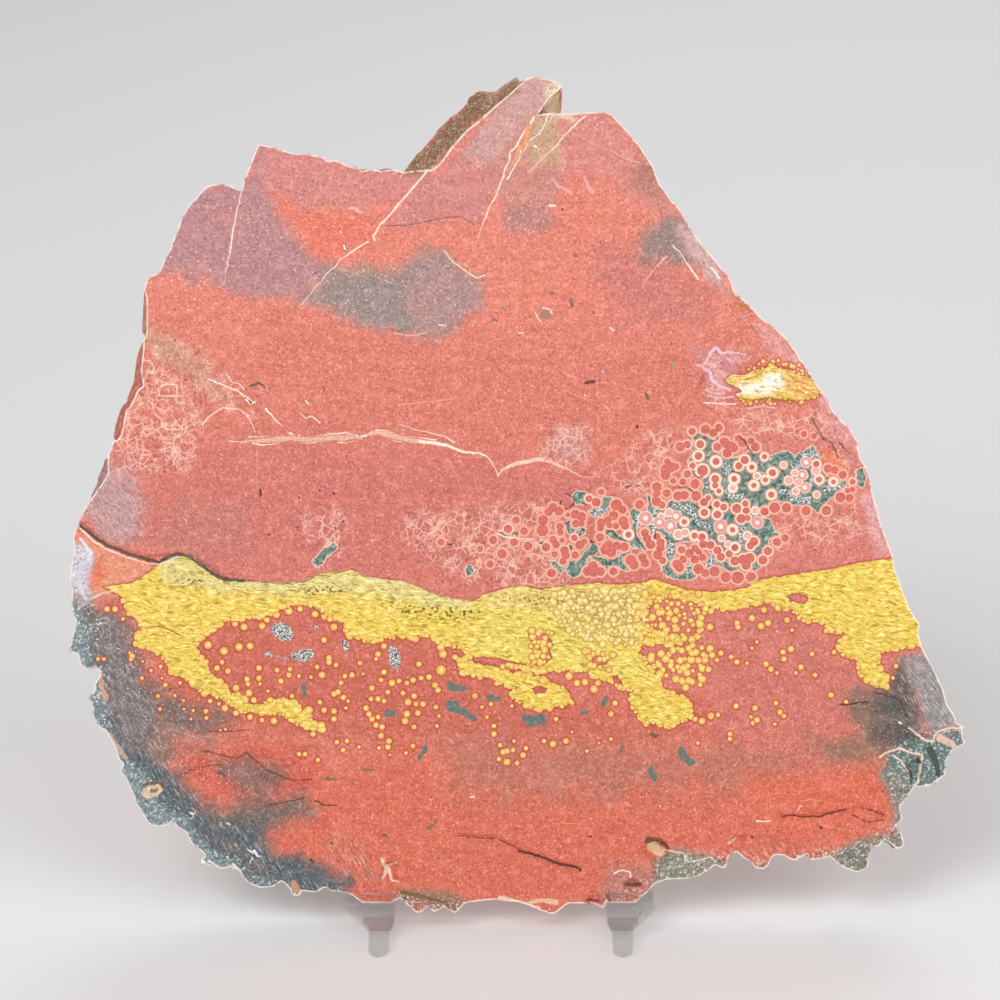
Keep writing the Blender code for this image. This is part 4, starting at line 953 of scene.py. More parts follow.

# %% [markdown]
# ## Veins and cracks
# Veins are old cracks that pale quartz filled, and some cracks stayed dark and open. Both are drawn as strokes
# along listed places: every triangle remembers the nearest one, and the shader draws it at its true width.

# %% Veins as trails, each with a width in picture steps, or a first and a last width
CREAM, WHITE, TAN, ORANGE, DARK, RUST, OLIVE = (
    (248, 232, 214), (248, 242, 238), (226, 180, 154), (232, 158, 108), (58, 46, 42), (120, 44, 34), (92, 92, 66)
)
FROSTY = (234, 194, 208)
PALE_RED = (240, 182, 164)
VEINS = [
    ((1.2, 2.4), CREAM, [242, 190, 239.5, 200, 237, 210, 235, 220, 232.5, 233, 231, 245, 230, 253]),
    ((1.8, 0.6), CREAM, [230, 253, 228, 261, 226.5, 268, 225, 277, 224, 286]),
    (2.2, CREAM, [428, 170, 408, 193, 388, 217, 380, 225, 376, 232, 373, 235.5, 374.5, 240]),
    ((2.0, 1.2), CREAM, [368, 242, 360, 246, 353, 250.5, 347, 255.5, 341, 259, 336, 265.5, 331, 270, 326, 274, 322,
        280, 301, 305]),
    ((2.4, 1.6), CREAM, [534, 117, 530, 124, 525, 130, 520, 139, 516, 147, 510, 152, 509, 162, 505, 168, 504, 175,
        499, 186, 496, 197, 491, 204, 487, 214, 484, 220]), ((1.4, 0.5), CREAM, [484, 220, 478, 238, 473, 252]),
    (1.8, CREAM, [548, 115, 545, 124, 540, 133, 534, 137, 529, 141, 522, 153, 514, 167, 510, 175, 507, 179]),
    ((6.0, 4.4), ORANGE, [529, 126, 527, 132, 526, 142, 522, 148]),
    ((5.0, 2.6), ORANGE, [519, 147, 516, 157, 513, 166]), ((1.6, 2.6), WHITE, [528, 130, 526, 139]),
    ((2.4, 1.2), CREAM, [522, 148, 519, 157]), (2.0, (240, 120, 90), [524, 142, 523, 146]),
    ((2.0, 1.0), CREAM, [585, 116, 577, 123, 570, 130, 563, 137, 556, 146, 550, 151, 543, 158, 536, 165, 528, 172]),
    ((0.7, 1.3), PALE_RED, [573, 133, 590, 142, 608, 149, 624, 158, 640, 163]),
    ((3.0, 5.4), TAN, [251, 441, 260, 441, 272, 440]), (5.4, TAN, [272, 440, 292, 438, 310, 440, 330, 438, 346, 438]),
    ((5.4, 2.6), TAN, [346, 438, 354, 437, 362, 438]), ((1.6, 0.8), CREAM, [249, 437, 262, 437, 270, 436]),
    ((2.6, 1.4), CREAM, [290, 434, 300, 435]), ((1.0, 1.8), CREAM, [316, 436, 330, 434]),
    ((1.8, 2.6), (240, 226, 222), [330, 434, 346, 433, 358, 436, 366, 436, 372, 432]),
    ((2.4, 1.2), CREAM, [252, 443, 262, 445, 280, 443]), ((0.8, 1.8), CREAM, [300, 444, 316, 442]),
    ((1.6, 0.8), CREAM, [338, 442, 346, 443, 358, 441]), ((3.0, 7.0), PALE_RED, [366, 435, 379, 432, 386, 434]),
    ((7.0, 5.0), TAN, [386, 434, 394, 436, 405, 439, 417, 441]), ((2.0, 0.8), CREAM, [376, 430, 386, 431, 396, 433]),
    ((0.8, 2.0), CREAM, [408, 436, 420, 438, 436, 440]), (1.2, CREAM, [392, 440, 402, 442]),
    ((4.4, 2.4), CREAM, [417, 441, 432, 443, 446, 445, 455, 449, 463, 452, 479, 453]),
    ((2.4, 1.2), CREAM, [479, 453, 486, 456, 490, 460, 496, 470, 499, 476]),
    ((2.0, 4.6), (240, 204, 180), [498, 476, 502, 470, 510, 466, 519, 463]),
    (4.4, (240, 204, 180), [519, 463, 530, 461, 538, 459, 544, 460]),
    ((3.6, 1.4), (240, 196, 172), [544, 460, 551, 462, 560, 466, 570, 470, 582, 477]),
    ((1.4, 0.8), PALE_RED, [582, 477, 593, 477, 605, 468, 616, 461, 628, 453, 642, 445, 655, 436]),
    ((1.0, 1.8), CREAM, [398, 424, 417, 430, 434, 434, 446, 437, 454, 442]),
    (1.2, PALE_RED, [398, 405, 410, 404, 424, 402, 437, 401, 452, 398]),
    ((1.8, 1.2), CREAM, [202, 424, 206, 420, 211, 415, 217, 411, 224, 408, 238, 409, 246, 414, 251, 421, 255, 432]),
    (1.4, CREAM, [230, 441, 240, 442, 252, 441]), ((0.8, 0.5), CREAM, [257, 446, 257, 490]),
    (1.8, WHITE, [209, 379, 218, 383, 228, 387, 236, 390, 246, 397, 253, 402]),
    (1.4, CREAM, [226, 373, 232, 382, 240, 384, 244, 390]), (2.2, WHITE, [246, 400, 250, 404, 255, 402]),
    ((2.6, 1.2), CREAM, [266, 409, 272, 416, 276, 420, 282, 426]),
    ((1.2, 1.8), CREAM, [299, 413, 305, 418, 312, 416, 320, 423]), (2.0, CREAM, [306, 401, 308, 404]),
    (1.6, CREAM, [444, 250, 452, 261, 463, 269, 476, 278, 485, 275]),
    ((1.6, 0.8), CREAM, [667, 256, 655, 268, 643, 284]), (1.5, CREAM, [144, 361, 150, 361, 154, 367, 152, 374]),
    (1.3, CREAM, [152, 402, 154, 413, 161, 419, 163, 428, 173, 430, 182, 428, 184, 419]),
    (1.3, CREAM, [188, 426, 184, 433, 175, 438, 173, 444, 177, 455, 173, 465]),
    (1.5, CREAM, [166, 384, 177, 385, 177, 396, 160, 396, 158, 388, 166, 384]),
    ((2.0, 4.4), FROSTY, [706, 362, 710, 353, 716, 348]),
    ((4.4, 1.4), FROSTY, [716, 348, 722, 354, 730, 352, 746, 355]),
    ((1.4, 4.2), FROSTY, [694, 364, 702, 366, 710, 372]),
    ((4.2, 2.8), FROSTY, [710, 372, 712, 380, 720, 386, 730, 390]),
    ((2.4, 1.0), FROSTY, [706, 390, 716, 395, 726, 393]), (1.4, FROSTY, [722, 360, 714, 364, 708, 372]),
    (2.2, (226, 186, 190), [708, 396, 722, 398, 736, 397]), (2.0, (226, 186, 190), [748, 408, 762, 406, 776, 408]),
    ((1.2, 0.6), PALE_RED, [760, 312, 748, 315, 735, 318, 725, 321, 715, 325, 707, 330, 700, 335, 695, 345]),
    (1.6, WHITE, [704, 403, 720, 403.5, 736, 404]), ((1.2, 0.7), CREAM, [754, 433, 775, 428, 795, 421, 811, 417]),
    (1.6, CREAM, [496, 533, 505, 537, 523, 539, 532, 539]),
    ((2.4, 1.2), CREAM, [80, 528, 92, 540, 106, 549, 124, 556, 142, 562, 150, 564]),
    ((1.2, 3.4), (226, 220, 206), [ 150, 564, 160, 564, 168, 561, 176, 556]),
    ((2.4, 1.0), (226, 220, 206), [176, 556, 186, 555, 194, 558, 203, 567, 214, 576]),
    (1.2, (196, 168, 140), [225, 580, 243, 582, 261, 581, 276, 582, 290, 582, 305, 580, 314, 574, 326, 572, 340, 571,
        352, 570, 365, 576, 385, 580, 407, 581, 426, 590, 445, 596, 458, 599, 472, 600, 482, 595, 500, 590, 520, 585,
        545, 587, 570, 584]), ((3.0, 5.0), (226, 224, 232), [80, 538, 86, 546, 91, 553, 88, 560]),
    (4.6, (206, 206, 218), [88, 560, 81, 566, 79, 574, 80, 584]),
    ((4.6, 2.0), (214, 212, 220), [80, 584, 82, 593, 88, 600]),
    ((1.4, 3.4), (214, 206, 206), [ 116, 590, 104, 593, 96, 596, 88, 600]),
    ((3.4, 5.0), (176, 170, 168), [92, 598, 86, 603, 80, 606]), (1.2, ORANGE, [552, 824, 563, 823, 579, 824]),
    (1.4, ORANGE, [800, 801, 812, 799, 820, 801]),
    (1.6, CREAM, [664, 850, 676, 852, 683, 853, 687, 862, 700, 860, 711, 857]), (2.0, CREAM, [757, 821, 770, 821]),
    ((0.9, 0.5), (226, 150, 130), [508, 790, 511, 820, 514, 847]),
    ((2.0, 3.4), (246, 206, 186), [909, 728, 914, 732, 921, 737, 926, 741, 933, 741]),
    (2.6, (246, 206, 186), [ 933, 741, 935, 735, 940, 730, 950, 728, 963, 728]),
    (2.8, (246, 206, 186), [880, 757, 886, 753, 893, 751, 899, 748, 912, 753, 922, 755, 921, 768, 918, 782, 914,
        786]), (2.4, (246, 206, 186), [908, 772, 902, 762, 893, 755]), (2.0, CREAM, [925, 785, 933, 784, 939, 779]),
    (4.4, (246, 226, 214), [345, 246, 346, 248]), (3.0, WHITE, [535, 146, 536, 147]),
    (2.4, CREAM, [549, 206, 555, 206]), (3.0, PALE_RED, [349, 209, 354, 208, 360, 212]),
    (1.6, WHITE, [519, 333, 523, 333]), (1.6, WHITE, [438, 325, 446, 326]),
    (2.2, (206, 160, 166), [430, 260, 432, 261]), (2.2, (206, 160, 166), [450, 274, 452, 276]),
    (2.4, WHITE, [571, 301, 572, 302]), (2.4, WHITE, [494, 321, 496, 321]), (2.4, WHITE, [503, 308, 504, 310]),
    (1.6, WHITE, [542, 308, 550, 309, 552, 314]), (1.4, WHITE, [536, 312, 537, 318, 541, 321]),
    (2.6, (226, 206, 214), [610, 328, 613, 330]), (3.0, LILAC, [605, 406, 608, 408]),
    (2.6, LILAC, [602, 371, 604, 372]), (2.6, LILAC, [613, 382, 615, 383]),
    ((2.0, 3.6), (226, 168, 166), [552, 178, 558, 186]),
    ((3.6, 3.0), (226, 168, 166), [558, 186, 566, 190, 572, 194]),
    ((2.6, 5.6), (226, 168, 166), [585, 178, 588, 186, 592, 192]),
    (1.2, CREAM, [534, 139, 540, 130, 548, 124, 553, 116]), ((2.0, 1.0), WHITE, [673, 246, 680, 252, 686, 262]),
    ((1.4, 2.2), WHITE, [686, 262, 692, 270, 698, 279]), (2.4, WHITE, [711, 268, 716, 273, 720, 279]),
    (1.6, PALE_RED, [394, 333, 404, 335, 416, 335, 427, 333]),
    (1.0, (190, 180, 172), [167, 728, 180, 732, 196, 738, 210, 736, 224, 741]),
    ((1.2, 3.2), WHITE, [189, 812, 193, 814]), (1.2, CREAM, [196, 811, 192, 818]), (2.0, WHITE, [227, 823, 230, 824]),
    ((1.4, 3.2), CREAM, [247, 849, 254, 853]), ((3.4, 1.2), WHITE, [254, 851, 258, 856, 262, 856]),
    ((2.4, 1.2), CREAM, [252, 858, 250, 864]), ((1.6, 2.8), CREAM, [200, 858, 205, 862]),
    ((2.8, 1.6), CREAM, [209, 861, 218, 866]), (3.0, CREAM, [233, 864, 240, 871]),
    ((8.0, 6.0), (206, 150, 116), [294, 884, 298, 893]),
    ((4.0, 7.0), (196, 168, 150), [110, 734, 114, 742, 120, 752]),
    ((7.0, 3.0), (196, 168, 150), [120, 752, 127, 758]),
    ((5.0, 7.0), (200, 160, 136), [100, 676, 102, 690, 106, 698]),
    ((13.0, 10.0), (222, 196, 160), [148, 793, 158, 789]), ((2.0, 6.0), (232, 216, 188), [381, 858, 386, 868]),
    ((5.0, 1.4), (232, 216, 188), [387, 869, 382, 880]),
    ((4.0, 1.6), (232, 216, 188), [388, 870, 392, 880, 399, 881]),
    ((3.0, 1.2), (232, 216, 188), [389, 866, 397, 862]), (2.0, (132, 134, 132), [366, 868, 370, 878, 380, 880]),
    (11.0, (226, 192, 152), [652, 846, 660, 852]), ((4.4, 2.0), (234, 208, 176), [730, 843, 737, 838]),
    (2.0, CREAM, [614, 874, 620, 870, 630, 872, 630, 877]),
    ((5.0, 3.0), (236, 206, 180), [500, 898, 520, 902, 540, 908]),
    ((3.0, 6.0), (230, 190, 160), [520, 906, 540, 900, 556, 902]), (2.6, WHITE, [899, 722, 901, 723]),
    ((9.0, 5.0), (226, 190, 172), [940, 738, 952, 744, 958, 752]), (1.4, CREAM, [797, 811, 802, 805]),
    (2.2, CREAM, [471, 797, 474, 797]),
]
DOTS = [
    340, 232, 333, 226, 299, 262, 295, 270, 312, 272, 294, 226, 243, 276, 150, 287, 162, 296, 194, 299, 188, 309,
    216, 303, 260, 246, 214, 236, 226, 262, 210, 270, 196, 252, 180, 264, 366, 300, 380, 318, 402, 296, 440, 290,
    455, 305, 420, 316, 348, 300, 388, 282, 606, 240, 590, 262, 640, 300, 560, 356, 470, 360, 420, 380, 330, 372,
    218, 519, 209, 540, 186, 520, 256, 516, 383, 494, 372, 540, 420, 470, 610, 448, 624, 430, 585, 395, 520, 400,
    702, 636, 751, 632, 777, 631, 369, 821, 430, 800, 512, 814, 610, 790, 660, 806, 560, 846, 470, 866, 700, 830,
]
print(len(VEINS), "veins")

# %% Cracks and pores, in the same way
CRACKS = [
    (3.6, (62, 70, 62), [79, 524, 89, 533, 106, 545, 123, 552, 142, 558, 159, 562, 167, 558, 177, 554, 190, 557, 202,
        566, 213, 574, 223, 579, 244, 581]), (1.2, (110, 90, 74), [244, 581, 290, 584, 305, 582, 316, 576, 340, 573]),
    (1.4, DARK, [458, 836, 479, 838, 496, 839, 516, 847, 519, 851]),
    (3.0, DARK, [519, 851, 531, 854, 542, 857, 554, 862, 562, 865, 573, 866, 580, 870]),
    (2.0, DARK, [782, 817, 790, 815, 803, 817, 820, 816.5, 828, 814, 847, 809]),
    (1.4, DARK, [860, 808, 870, 810, 883, 815]), (1.4, DARK, [852, 814, 860, 819, 867, 822, 885, 820]),
    (1.4, RUST, [180, 776, 190, 770, 203, 767, 223, 764]), (1.2, DARK, [163, 692, 172, 688, 184, 688]),
    (1.8, RUST, [205, 751, 236, 758, 247, 753, 268, 771, 290, 780, 312, 780]),
    (1.8, DARK, [315, 800, 325, 805, 337, 806]), (1.4, DARK, [265, 806, 285, 802, 305, 798]),
    (1.4, RUST, [209, 732, 249, 730]),
    (1.4, (120, 84, 84), [382, 226, 409, 225, 420, 223, 442, 218, 460, 216, 474, 225]),
    (2.0, (96, 84, 84), [812, 418, 822, 437, 832, 443, 838, 458]), (2.0, DARK, [840, 705, 869, 702]),
    (1.6, (150, 110, 50), [735, 397, 750, 400, 765, 398, 783, 400, 800, 401]), (2.2, DARK, [911, 772, 911, 784]),
    (1.2, (170, 110, 50), [740, 380, 752, 378, 764, 372]), (1.2, (170, 110, 50), [786, 372, 796, 380, 806, 384]),
    (2.0, (70, 66, 60), [345, 244, 347, 249]), (3.0, (80, 80, 74), [250, 386, 258, 383, 264, 386]),
    (3.0, DARK, [250, 402, 251, 402.5]), (1.6, DARK, [567, 494, 574, 499, 574, 504, 568, 508, 565, 508]),
    (2.2, DARK, [561, 501, 560, 504]), (1.6, DARK, [583, 503, 587, 505]), (2.0, DARK, [607, 531, 612, 531, 616, 536]),
    (1.4, DARK, [616, 536, 622, 539, 627, 541]), (1.6, DARK, [635, 530, 636, 537, 642, 546, 646, 550]),
    (1.6, DARK, [649, 498, 651, 505]), (1.8, DARK, [565, 524, 569, 522]), (2.4, DARK, [582, 529, 584, 530.5]),
    (1.4, DARK, [586, 553, 593, 555, 597, 550]), (2.2, DARK, [591, 541, 593, 543]),
    (2.2, DARK, [570.6, 546.6, 571.4, 549]), (2.2, DARK, [540, 543, 542, 543]), (1.8, DARK, [626, 487, 631, 485.4]),
    (1.8, DARK, [637, 485, 640, 486]), (1.8, DARK, [655, 532, 654.4, 539]), (1.8, DARK, [698, 507, 694, 504]),
    (2.6, DARK, [711, 507, 710, 508]), (1.5, DARK, [816, 431, 826, 442]), (1.3, DARK, [840, 443, 850, 454]),
    (2.0, DARK, [832.8, 443.7, 833, 444]), (2.0, DARK, [829.3, 446.7, 829.6, 447]),
    (1.6, DARK, [739, 436, 744, 440, 748, 448, 752, 452]), (1.6, DARK, [679, 487, 686, 487, 694, 492]),
    (1.6, DARK, [703, 477, 698, 478, 692, 472]), (1.5, DARK, [731, 472, 740, 473]),
    (2.0, (70, 66, 60), [175, 340, 175.5, 341]), (2.0, (70, 66, 60), [185, 379, 186, 380]),
    (2.4, DARK, [343, 521, 343.5, 522]), (2.4, DARK, [448, 544, 452, 544]),
    (2.2, (92, 120, 114), [419, 561, 420, 562]), (2.6, (92, 120, 114), [442, 581, 443, 582]),
    (1.6, (120, 44, 34), [146, 300, 145, 320, 145, 343]),
    (2.6, (110, 80, 60), [144, 786, 150, 783, 160, 783, 164, 788]), (1.4, (110, 80, 60), [142, 798, 148, 802]),
    ((5.0, 2.4), (104, 92, 86), [219, 773, 226, 776]), (4.0, (104, 66, 46), [626, 885, 634, 886, 640, 884]),
    (3.0, (104, 66, 46), [587, 900, 598, 901]), (3.6, (120, 80, 56), [607, 895, 611, 903]),
    ((5.0, 3.0), (110, 92, 62), [402, 892, 420, 896, 444, 902]),
    ((6.0, 3.0), (104, 70, 48), [648, 840, 660, 840, 668, 848]), (4.0, (60, 66, 58), [918, 760, 920, 763]),
    ((8.0, 5.0), (64, 78, 66), [930, 750, 936, 762, 938, 774]), (1.8, (88, 44, 40), [875, 692, 900, 700, 906, 715]),
    (2.0, DARK, [500, 532, 502, 533]), (2.0, DARK, [514, 533, 517, 534]),
    (1.4, (150, 60, 36), [146, 628, 160, 626, 174, 632, 182, 636]), (1.2, (150, 60, 36), [152, 634, 166, 636]),
    (1.4, (140, 80, 70), [315, 217, 318, 213, 321, 215]), (3.6, (116, 104, 84), [575, 256, 576, 256.5]),
    (9.0, (164, 126, 106), [544, 314, 546, 315]), (4.0, (104, 100, 80), [571, 300, 572, 305]),
    (3.6, (120, 104, 84), [552, 293, 553, 293.5]), (3.4, (140, 100, 84), [593, 312, 593.5, 312.5]),
    (3.6, (120, 112, 98), [503, 308, 504, 308.5]), (3.6, (120, 108, 98), [493, 320, 496, 320.5]),
    (3.0, OLIVE, [646, 393, 648, 399]), (3.0, DARK, [637, 426, 637.5, 427]), (3.2, DARK, [586, 383, 594, 382]),
    (3.0, (150, 160, 120), [673, 364, 674, 369]), (3.0, DARK, [260, 490, 261, 495]),
    (2.6, DARK, [334, 493, 334.5, 493.5]), (3.4, OLIVE, [297, 527, 297.5, 527.5]),
    (2.6, DARK, [268, 534, 268.5, 534.5]), (2.4, DARK, [319, 490, 320, 491]), (2.0, DARK, [299, 497, 299.5, 497.5]),
    (2.0, DARK, [335, 528, 336, 529]), (5.0, (124, 106, 84), [152, 791, 156, 790]),
    ((3.6, 2.0), (120, 104, 82), [364, 770, 374, 770]), ((3.6, 2.0), (116, 104, 86), [327, 779, 336, 780]),
    (3.0, DARK, [590, 836, 591, 836.5]), (3.0, OLIVE, [384, 835, 386, 836]), (3.0, OLIVE, [331, 843, 332, 844]),
    (3.0, DARK, [311, 860, 312, 861]), ((4.0, 1.6), (110, 106, 86), [429, 828, 436, 823]),
    (3.0, DARK, [820, 827, 821, 828]), (3.0, DARK, [752, 837, 753, 838]), (4.0, OLIVE, [652, 735, 656, 736]),
    (1.8, DARK, [815, 550, 816, 551]), (2.4, DARK, [562, 209, 563, 210]),
]


print(len(CRACKS), "cracks and pores")

# %% Trails as strokes
DOT_LENGTH = 0.5


def stroke_rows(trails):
    """Trails with a width and a colour as strokes in millimetres, each followed by its colour."""
    rows = []
    for width, colour, trail in trails:
        strokes = strokes_of(trail, np.multiply(width, PICTURE_STEP / 2))
        rows.append(np.hstack([strokes, np.tile(linear(colour), (len(strokes), 1))]))
    return np.vstack(rows)


dot_sizes = np.random.default_rng(41).uniform(0.8, 1.7, len(DOTS) // 2)
dot_ends = np.tile(np.reshape(DOTS, (-1, 2)), 2) + (0.0, 0.0, DOT_LENGTH, DOT_LENGTH)
dot_trails = [(size, WHITE, ends) for size, ends in zip(dot_sizes, dot_ends)]
veins, cracks = stroke_rows(VEINS + dot_trails), stroke_rows(CRACKS)
print(len(veins), "vein strokes and", len(cracks), "crack strokes")

# %% [markdown]
# ## The slab as an object
# All that the stone knows goes into named attributes: on corners what changes softly, and on faces the nearest
# orb, vein and crack. The shader reads them by name.

# %% Make a piece, and give it attributes


def give(mesh, name, domain, values):
    """Stores rows of three numbers, or single numbers, under a name that the shader can read."""
    kind = "FLOAT_VECTOR" if np.ndim(values) == 2 else "FLOAT"
    data = mesh.attributes.new(name, kind, domain).data
    data.foreach_set("vector" if kind == "FLOAT_VECTOR" else "value", np.asarray(values, np.float32).ravel())


def piece(name, places, faces, material):
    """A mesh object at the origin, with its place in its mesh, that moves with the whole stand."""
    mesh = bpy.data.meshes.new(name)
    mesh.from_pydata(places.tolist(), [], faces.tolist())
    made = bpy.data.objects.new(name, mesh)
    bpy.context.scene.collection.objects.link(made)
    mesh.materials.append(material)
    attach(made, "root")
    return made


# %% The slab and its soft attributes
jasper, jasper_shader, wire = new_material("jasper")
slab = piece("polished_slab", in_room(skin), skin_faces, jasper)
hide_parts("jasper_slab")

give(slab.data, "stone", "POINT", markings)
give(slab.data, "ground", "POINT", linear(ground))
give(slab.data, "band", "POINT", linear(band_colours))
give(slab.data, "zones", "POINT", np.column_stack([yellow_gap, teal_gap, drusy_gap]))
give(slab.data, "marks", "POINT", mark_gaps)
give(slab.data, "covers", "POINT", cover_gaps)
give(slab.data, "edges", "POINT", np.column_stack([rim_gap, on_rim, np.zeros(len(skin))]))

print("soft attributes:", [name for name in slab.data.attributes.keys() if name[0] != "."])

# %% The nearest orb, vein and crack of each face
REACH, NOWHERE = 2.0, 999.0  # a face farther than that from every stroke is given one that it never meets
face_places = markings[skin_faces].mean(axis=1)[:, :2]
for name, rows in (("orb", orbs), ("vein", veins), ("crack", cracks)):
    chosen, gap = nearest_stroke(face_places, rows)
    picked = rows[chosen]
    picked[gap > REACH, 0:4] = NOWHERE
    give(slab.data, name + "_start", "FACE", picked[:, [0, 1, 4]])
    give(slab.data, name + "_end", "FACE", picked[:, [2, 3, 5]])
    give(slab.data, name + "_colour", "FACE", picked[:, 6:9])
    if name == "orb":
        give(slab.data, "orb_ring", "FACE", picked[:, 9:12])
        give(slab.data, "orb_halo", "FACE", picked[:, 12:15])
        give(slab.data, "orb_bold", "FACE", picked[:, 15])
print("the dressed slab has", len(slab.data.polygons), "faces")

# %% [markdown]
# ## The jasper
# The colour is built up as the stone was: the red ground with its grain, then the quartz and the band, then orbs,
# veins and cracks. Mottling, grain and the faint marks of the saw are random textures on the stone's own
# places, so they run on round the rim.

# %% Nodes with plain names


def attribute(name, output="Vector"):
    """What the mesh remembers under that name."""
    return wire.node("ShaderNodeAttribute", {"attribute_name": name}, output=output)


def parts(vector):
    """The three numbers of a vector, each as a wire."""
    return [wire.node("ShaderNodeSeparateXYZ", inputs={0: vector}, output=number) for number in range(3)]


def noise(places, size, detail=2.0, rough=0.5, twist=0.0):
    """Random heights from 0 to 1 whose waves are about that many millimetres long."""
    inputs = {"Vector": places, "Scale": 1.0 / size, "Detail": detail, "Roughness": rough, "Distortion": twist}
    return wire.node("ShaderNodeTexNoise", inputs=inputs)


def stretched(places, length, turn=0.0):
    """The stone's places pulled out that many times along a line turned from upright, so that a texture on them
    becomes streaks."""
    inputs = {"Vector": places, "Rotation": (0.0, 0.0, float(np.radians(turn))), "Scale": (1.0, length, 1.0)}
    return wire.node("ShaderNodeMapping", {"vector_type": "TEXTURE"}, inputs)


def wandering(places, size, reach):
    """Places pushed about by random heights, so that drawn lines look grown and not ruled."""
    inputs = {"Vector": places, "Scale": 1.0 / size, "Detail": 2.0}
    pushed = wire.node("ShaderNodeTexNoise", inputs=inputs, output="Color").vector("SUBTRACT", (0.5, 0.5, 0.5))
    scaled = wire.node("ShaderNodeVectorMath", {"operation": "SCALE"}, {0: pushed, "Scale": reach})
    flattened = scaled.vector("MULTIPLY", (1.0, 1.0, 0.0))
    return places.vector("ADD", flattened)


def stroke_gap(name, places, swell=1.0):
    """Distance in millimetres from the nearest stroke of that name, less its radius times a swell: off the line,
    the place less the start, less the line times its share, kept between its ends."""
    start, end = attribute(name + "_start"), attribute(name + "_end")
    start_radius, end_radius = parts(start)[2], parts(end)[2]
    start, end, here = (vector.vector("MULTIPLY", (1.0, 1.0, 0.0)) for vector in (start, end, places))
    along, off = end.vector("SUBTRACT", start), here.vector("SUBTRACT", start)
    length = along.vector("DOT_PRODUCT", along, output=1).most(1e-6)
    share = off.vector("DOT_PRODUCT", along, output=1).maths("DIVIDE", length, clamp=True)
    foot = wire.node("ShaderNodeVectorMath", {"operation": "SCALE"}, {0: along, "Scale": share})
    away = off.vector("DISTANCE", foot, output=1)
    return away - (start_radius + share * (end_radius - start_radius)) * swell


print("the tree starts with", len(wire.tree.nodes), "nodes")

# %% Read the attributes
SAW_TURN, FLOW_TURN = 32.0, 84.0  # degrees from upright
stone = attribute("stone")
yellow, teal, drusy = parts(attribute("zones"))
frost, threads, specks = parts(attribute("marks"))
crusted, pits, cells = parts(attribute("covers"))
edge_gap, broken, _ = parts(attribute("edges"))
fine = noise(stone, 0.2, 1.0, 0.5)
grain = noise(stone, 0.44, 3.0, 0.62, 1.0)
mottle = noise(stone, 1.7, 4.0, 0.62, 0.6)
blotch = noise(stone, 7.0, 5.0, 0.62, 0.6)
streak = noise(stretched(stone, 7.0, FLOW_TURN), 1.1, 4.0, 0.65)
border = noise(stone, 1.1, 3.0, 0.6) - 0.5
print("the jasper reads", len(slab.data.attributes), "attributes")

# %% Red ground: worm-like grain, pale flecks, dark pores


def shaded(colour, amount):
    """A colour made lighter or darker as a whole."""
    return wire.node("ShaderNodeVectorMath", {"operation": "SCALE"}, {0: colour, "Scale": amount})


ground_base = attribute("ground")
texture = 0.97 + (grain - 0.5) * 1.3 + (mottle - 0.5) * 0.5 + (fine - 0.5) * 0.5 + (streak - 0.5) * 0.4
colour = shaded(ground_base, texture)
colour = colour.painted(tone(250, 204, 188), mottle.rises(0.52, 0.72) * 0.16)
colour = colour.painted(tone(254, 214, 198), grain.rises(0.55, 0.7) * 0.32)
colour = colour.painted(tone(240, 150, 124), blotch.rises(0.5, 0.75) * 0.22)
colour = colour.painted(tone(104, 50, 42), grain.rises(0.42, 0.3) * 0.28)

print("with the ground:", len(wire.tree.nodes), "nodes")

# %% Saw marks, threads and specks, each in its own part of the face
saw = noise(stretched(stone, 9.0, SAW_TURN), 0.26, 3.0, 0.65)
in_frost = (frost + border * 2.4).rises(0.7, -1.2)
colour = colour.painted(tone(232, 226, 226), in_frost * saw.rises(0.52, 0.7) * 0.5)
colour = colour.painted(tone(60, 58, 62), in_frost * saw.rises(0.47, 0.32) * 0.45)
squiggle = (noise(stone, 1.25, 3.0, 0.6, 0.9) - 0.5).maths("ABSOLUTE")
in_threads = (threads + border * 3.0).rises(0.6, -1.4)
patchy = noise(stone, 3.4, 2.0).rises(0.42, 0.58)
colour = colour.painted(tone(250, 214, 196), in_threads * squiggle.rises(0.03, 0.008) * patchy * 0.7)
colour = colour.painted(tone(132, 52, 48), in_threads * squiggle.rises(0.075, 0.13) * (1 - patchy) * 0.3)
cell_gap = wire.node(
    "ShaderNodeTexVoronoi", {"feature": "DISTANCE_TO_EDGE"}, {"Vector": wandering(stone, 1.3, 0.5), "Scale": 0.66},
    output="Distance",
)
in_cells = (cells + border * 3.4).rises(0.6, -1.4) * noise(stone, 3.0, 2.0).rises(0.4, 0.54)
colour = colour.painted(tone(244, 200, 176), in_cells * (cell_gap + (grain - 0.5) * 0.12).rises(0.08, 0.03) * 0.7)
dots = wire.node("ShaderNodeTexVoronoi", {"feature": "F1"}, {"Vector": stone, "Scale": 1.5}, output="Distance")
in_specks = (specks + border * 2.0).rises(0.5, -1.0)
colour = colour.painted(tone(240, 226, 220), in_specks * dots.rises(0.24, 0.1) * 0.7)

print("with saw marks, threads, nets and specks:", len(wire.tree.nodes), "nodes")

# %% Crust: sparkling grey-green crystals at the lower rim
spark = wire.node("ShaderNodeTexVoronoi", {"feature": "F1"}, {"Vector": stone, "Scale": 2.7}, output="Color")
spark_value = parts(spark)[0]
crystal = spark_value * 0.5 + (grain - 0.5) * 1.3 + 0.25
crystals = shaded(ground_base, 0.5 + crystal * 0.95)
crystals = crystals.painted(tone(46, 46, 48), crystal.rises(0.3, 0.05) * 0.6)
crystals = crystals.painted(tone(236, 240, 232), crystal.rises(0.6, 0.85) * 0.8)
in_crust = (crusted + border * 2.6).rises(0.5, -0.6)
colour = colour.painted(crystals, in_crust * 0.85)

print("with the crust:", len(wire.tree.nodes), "nodes")

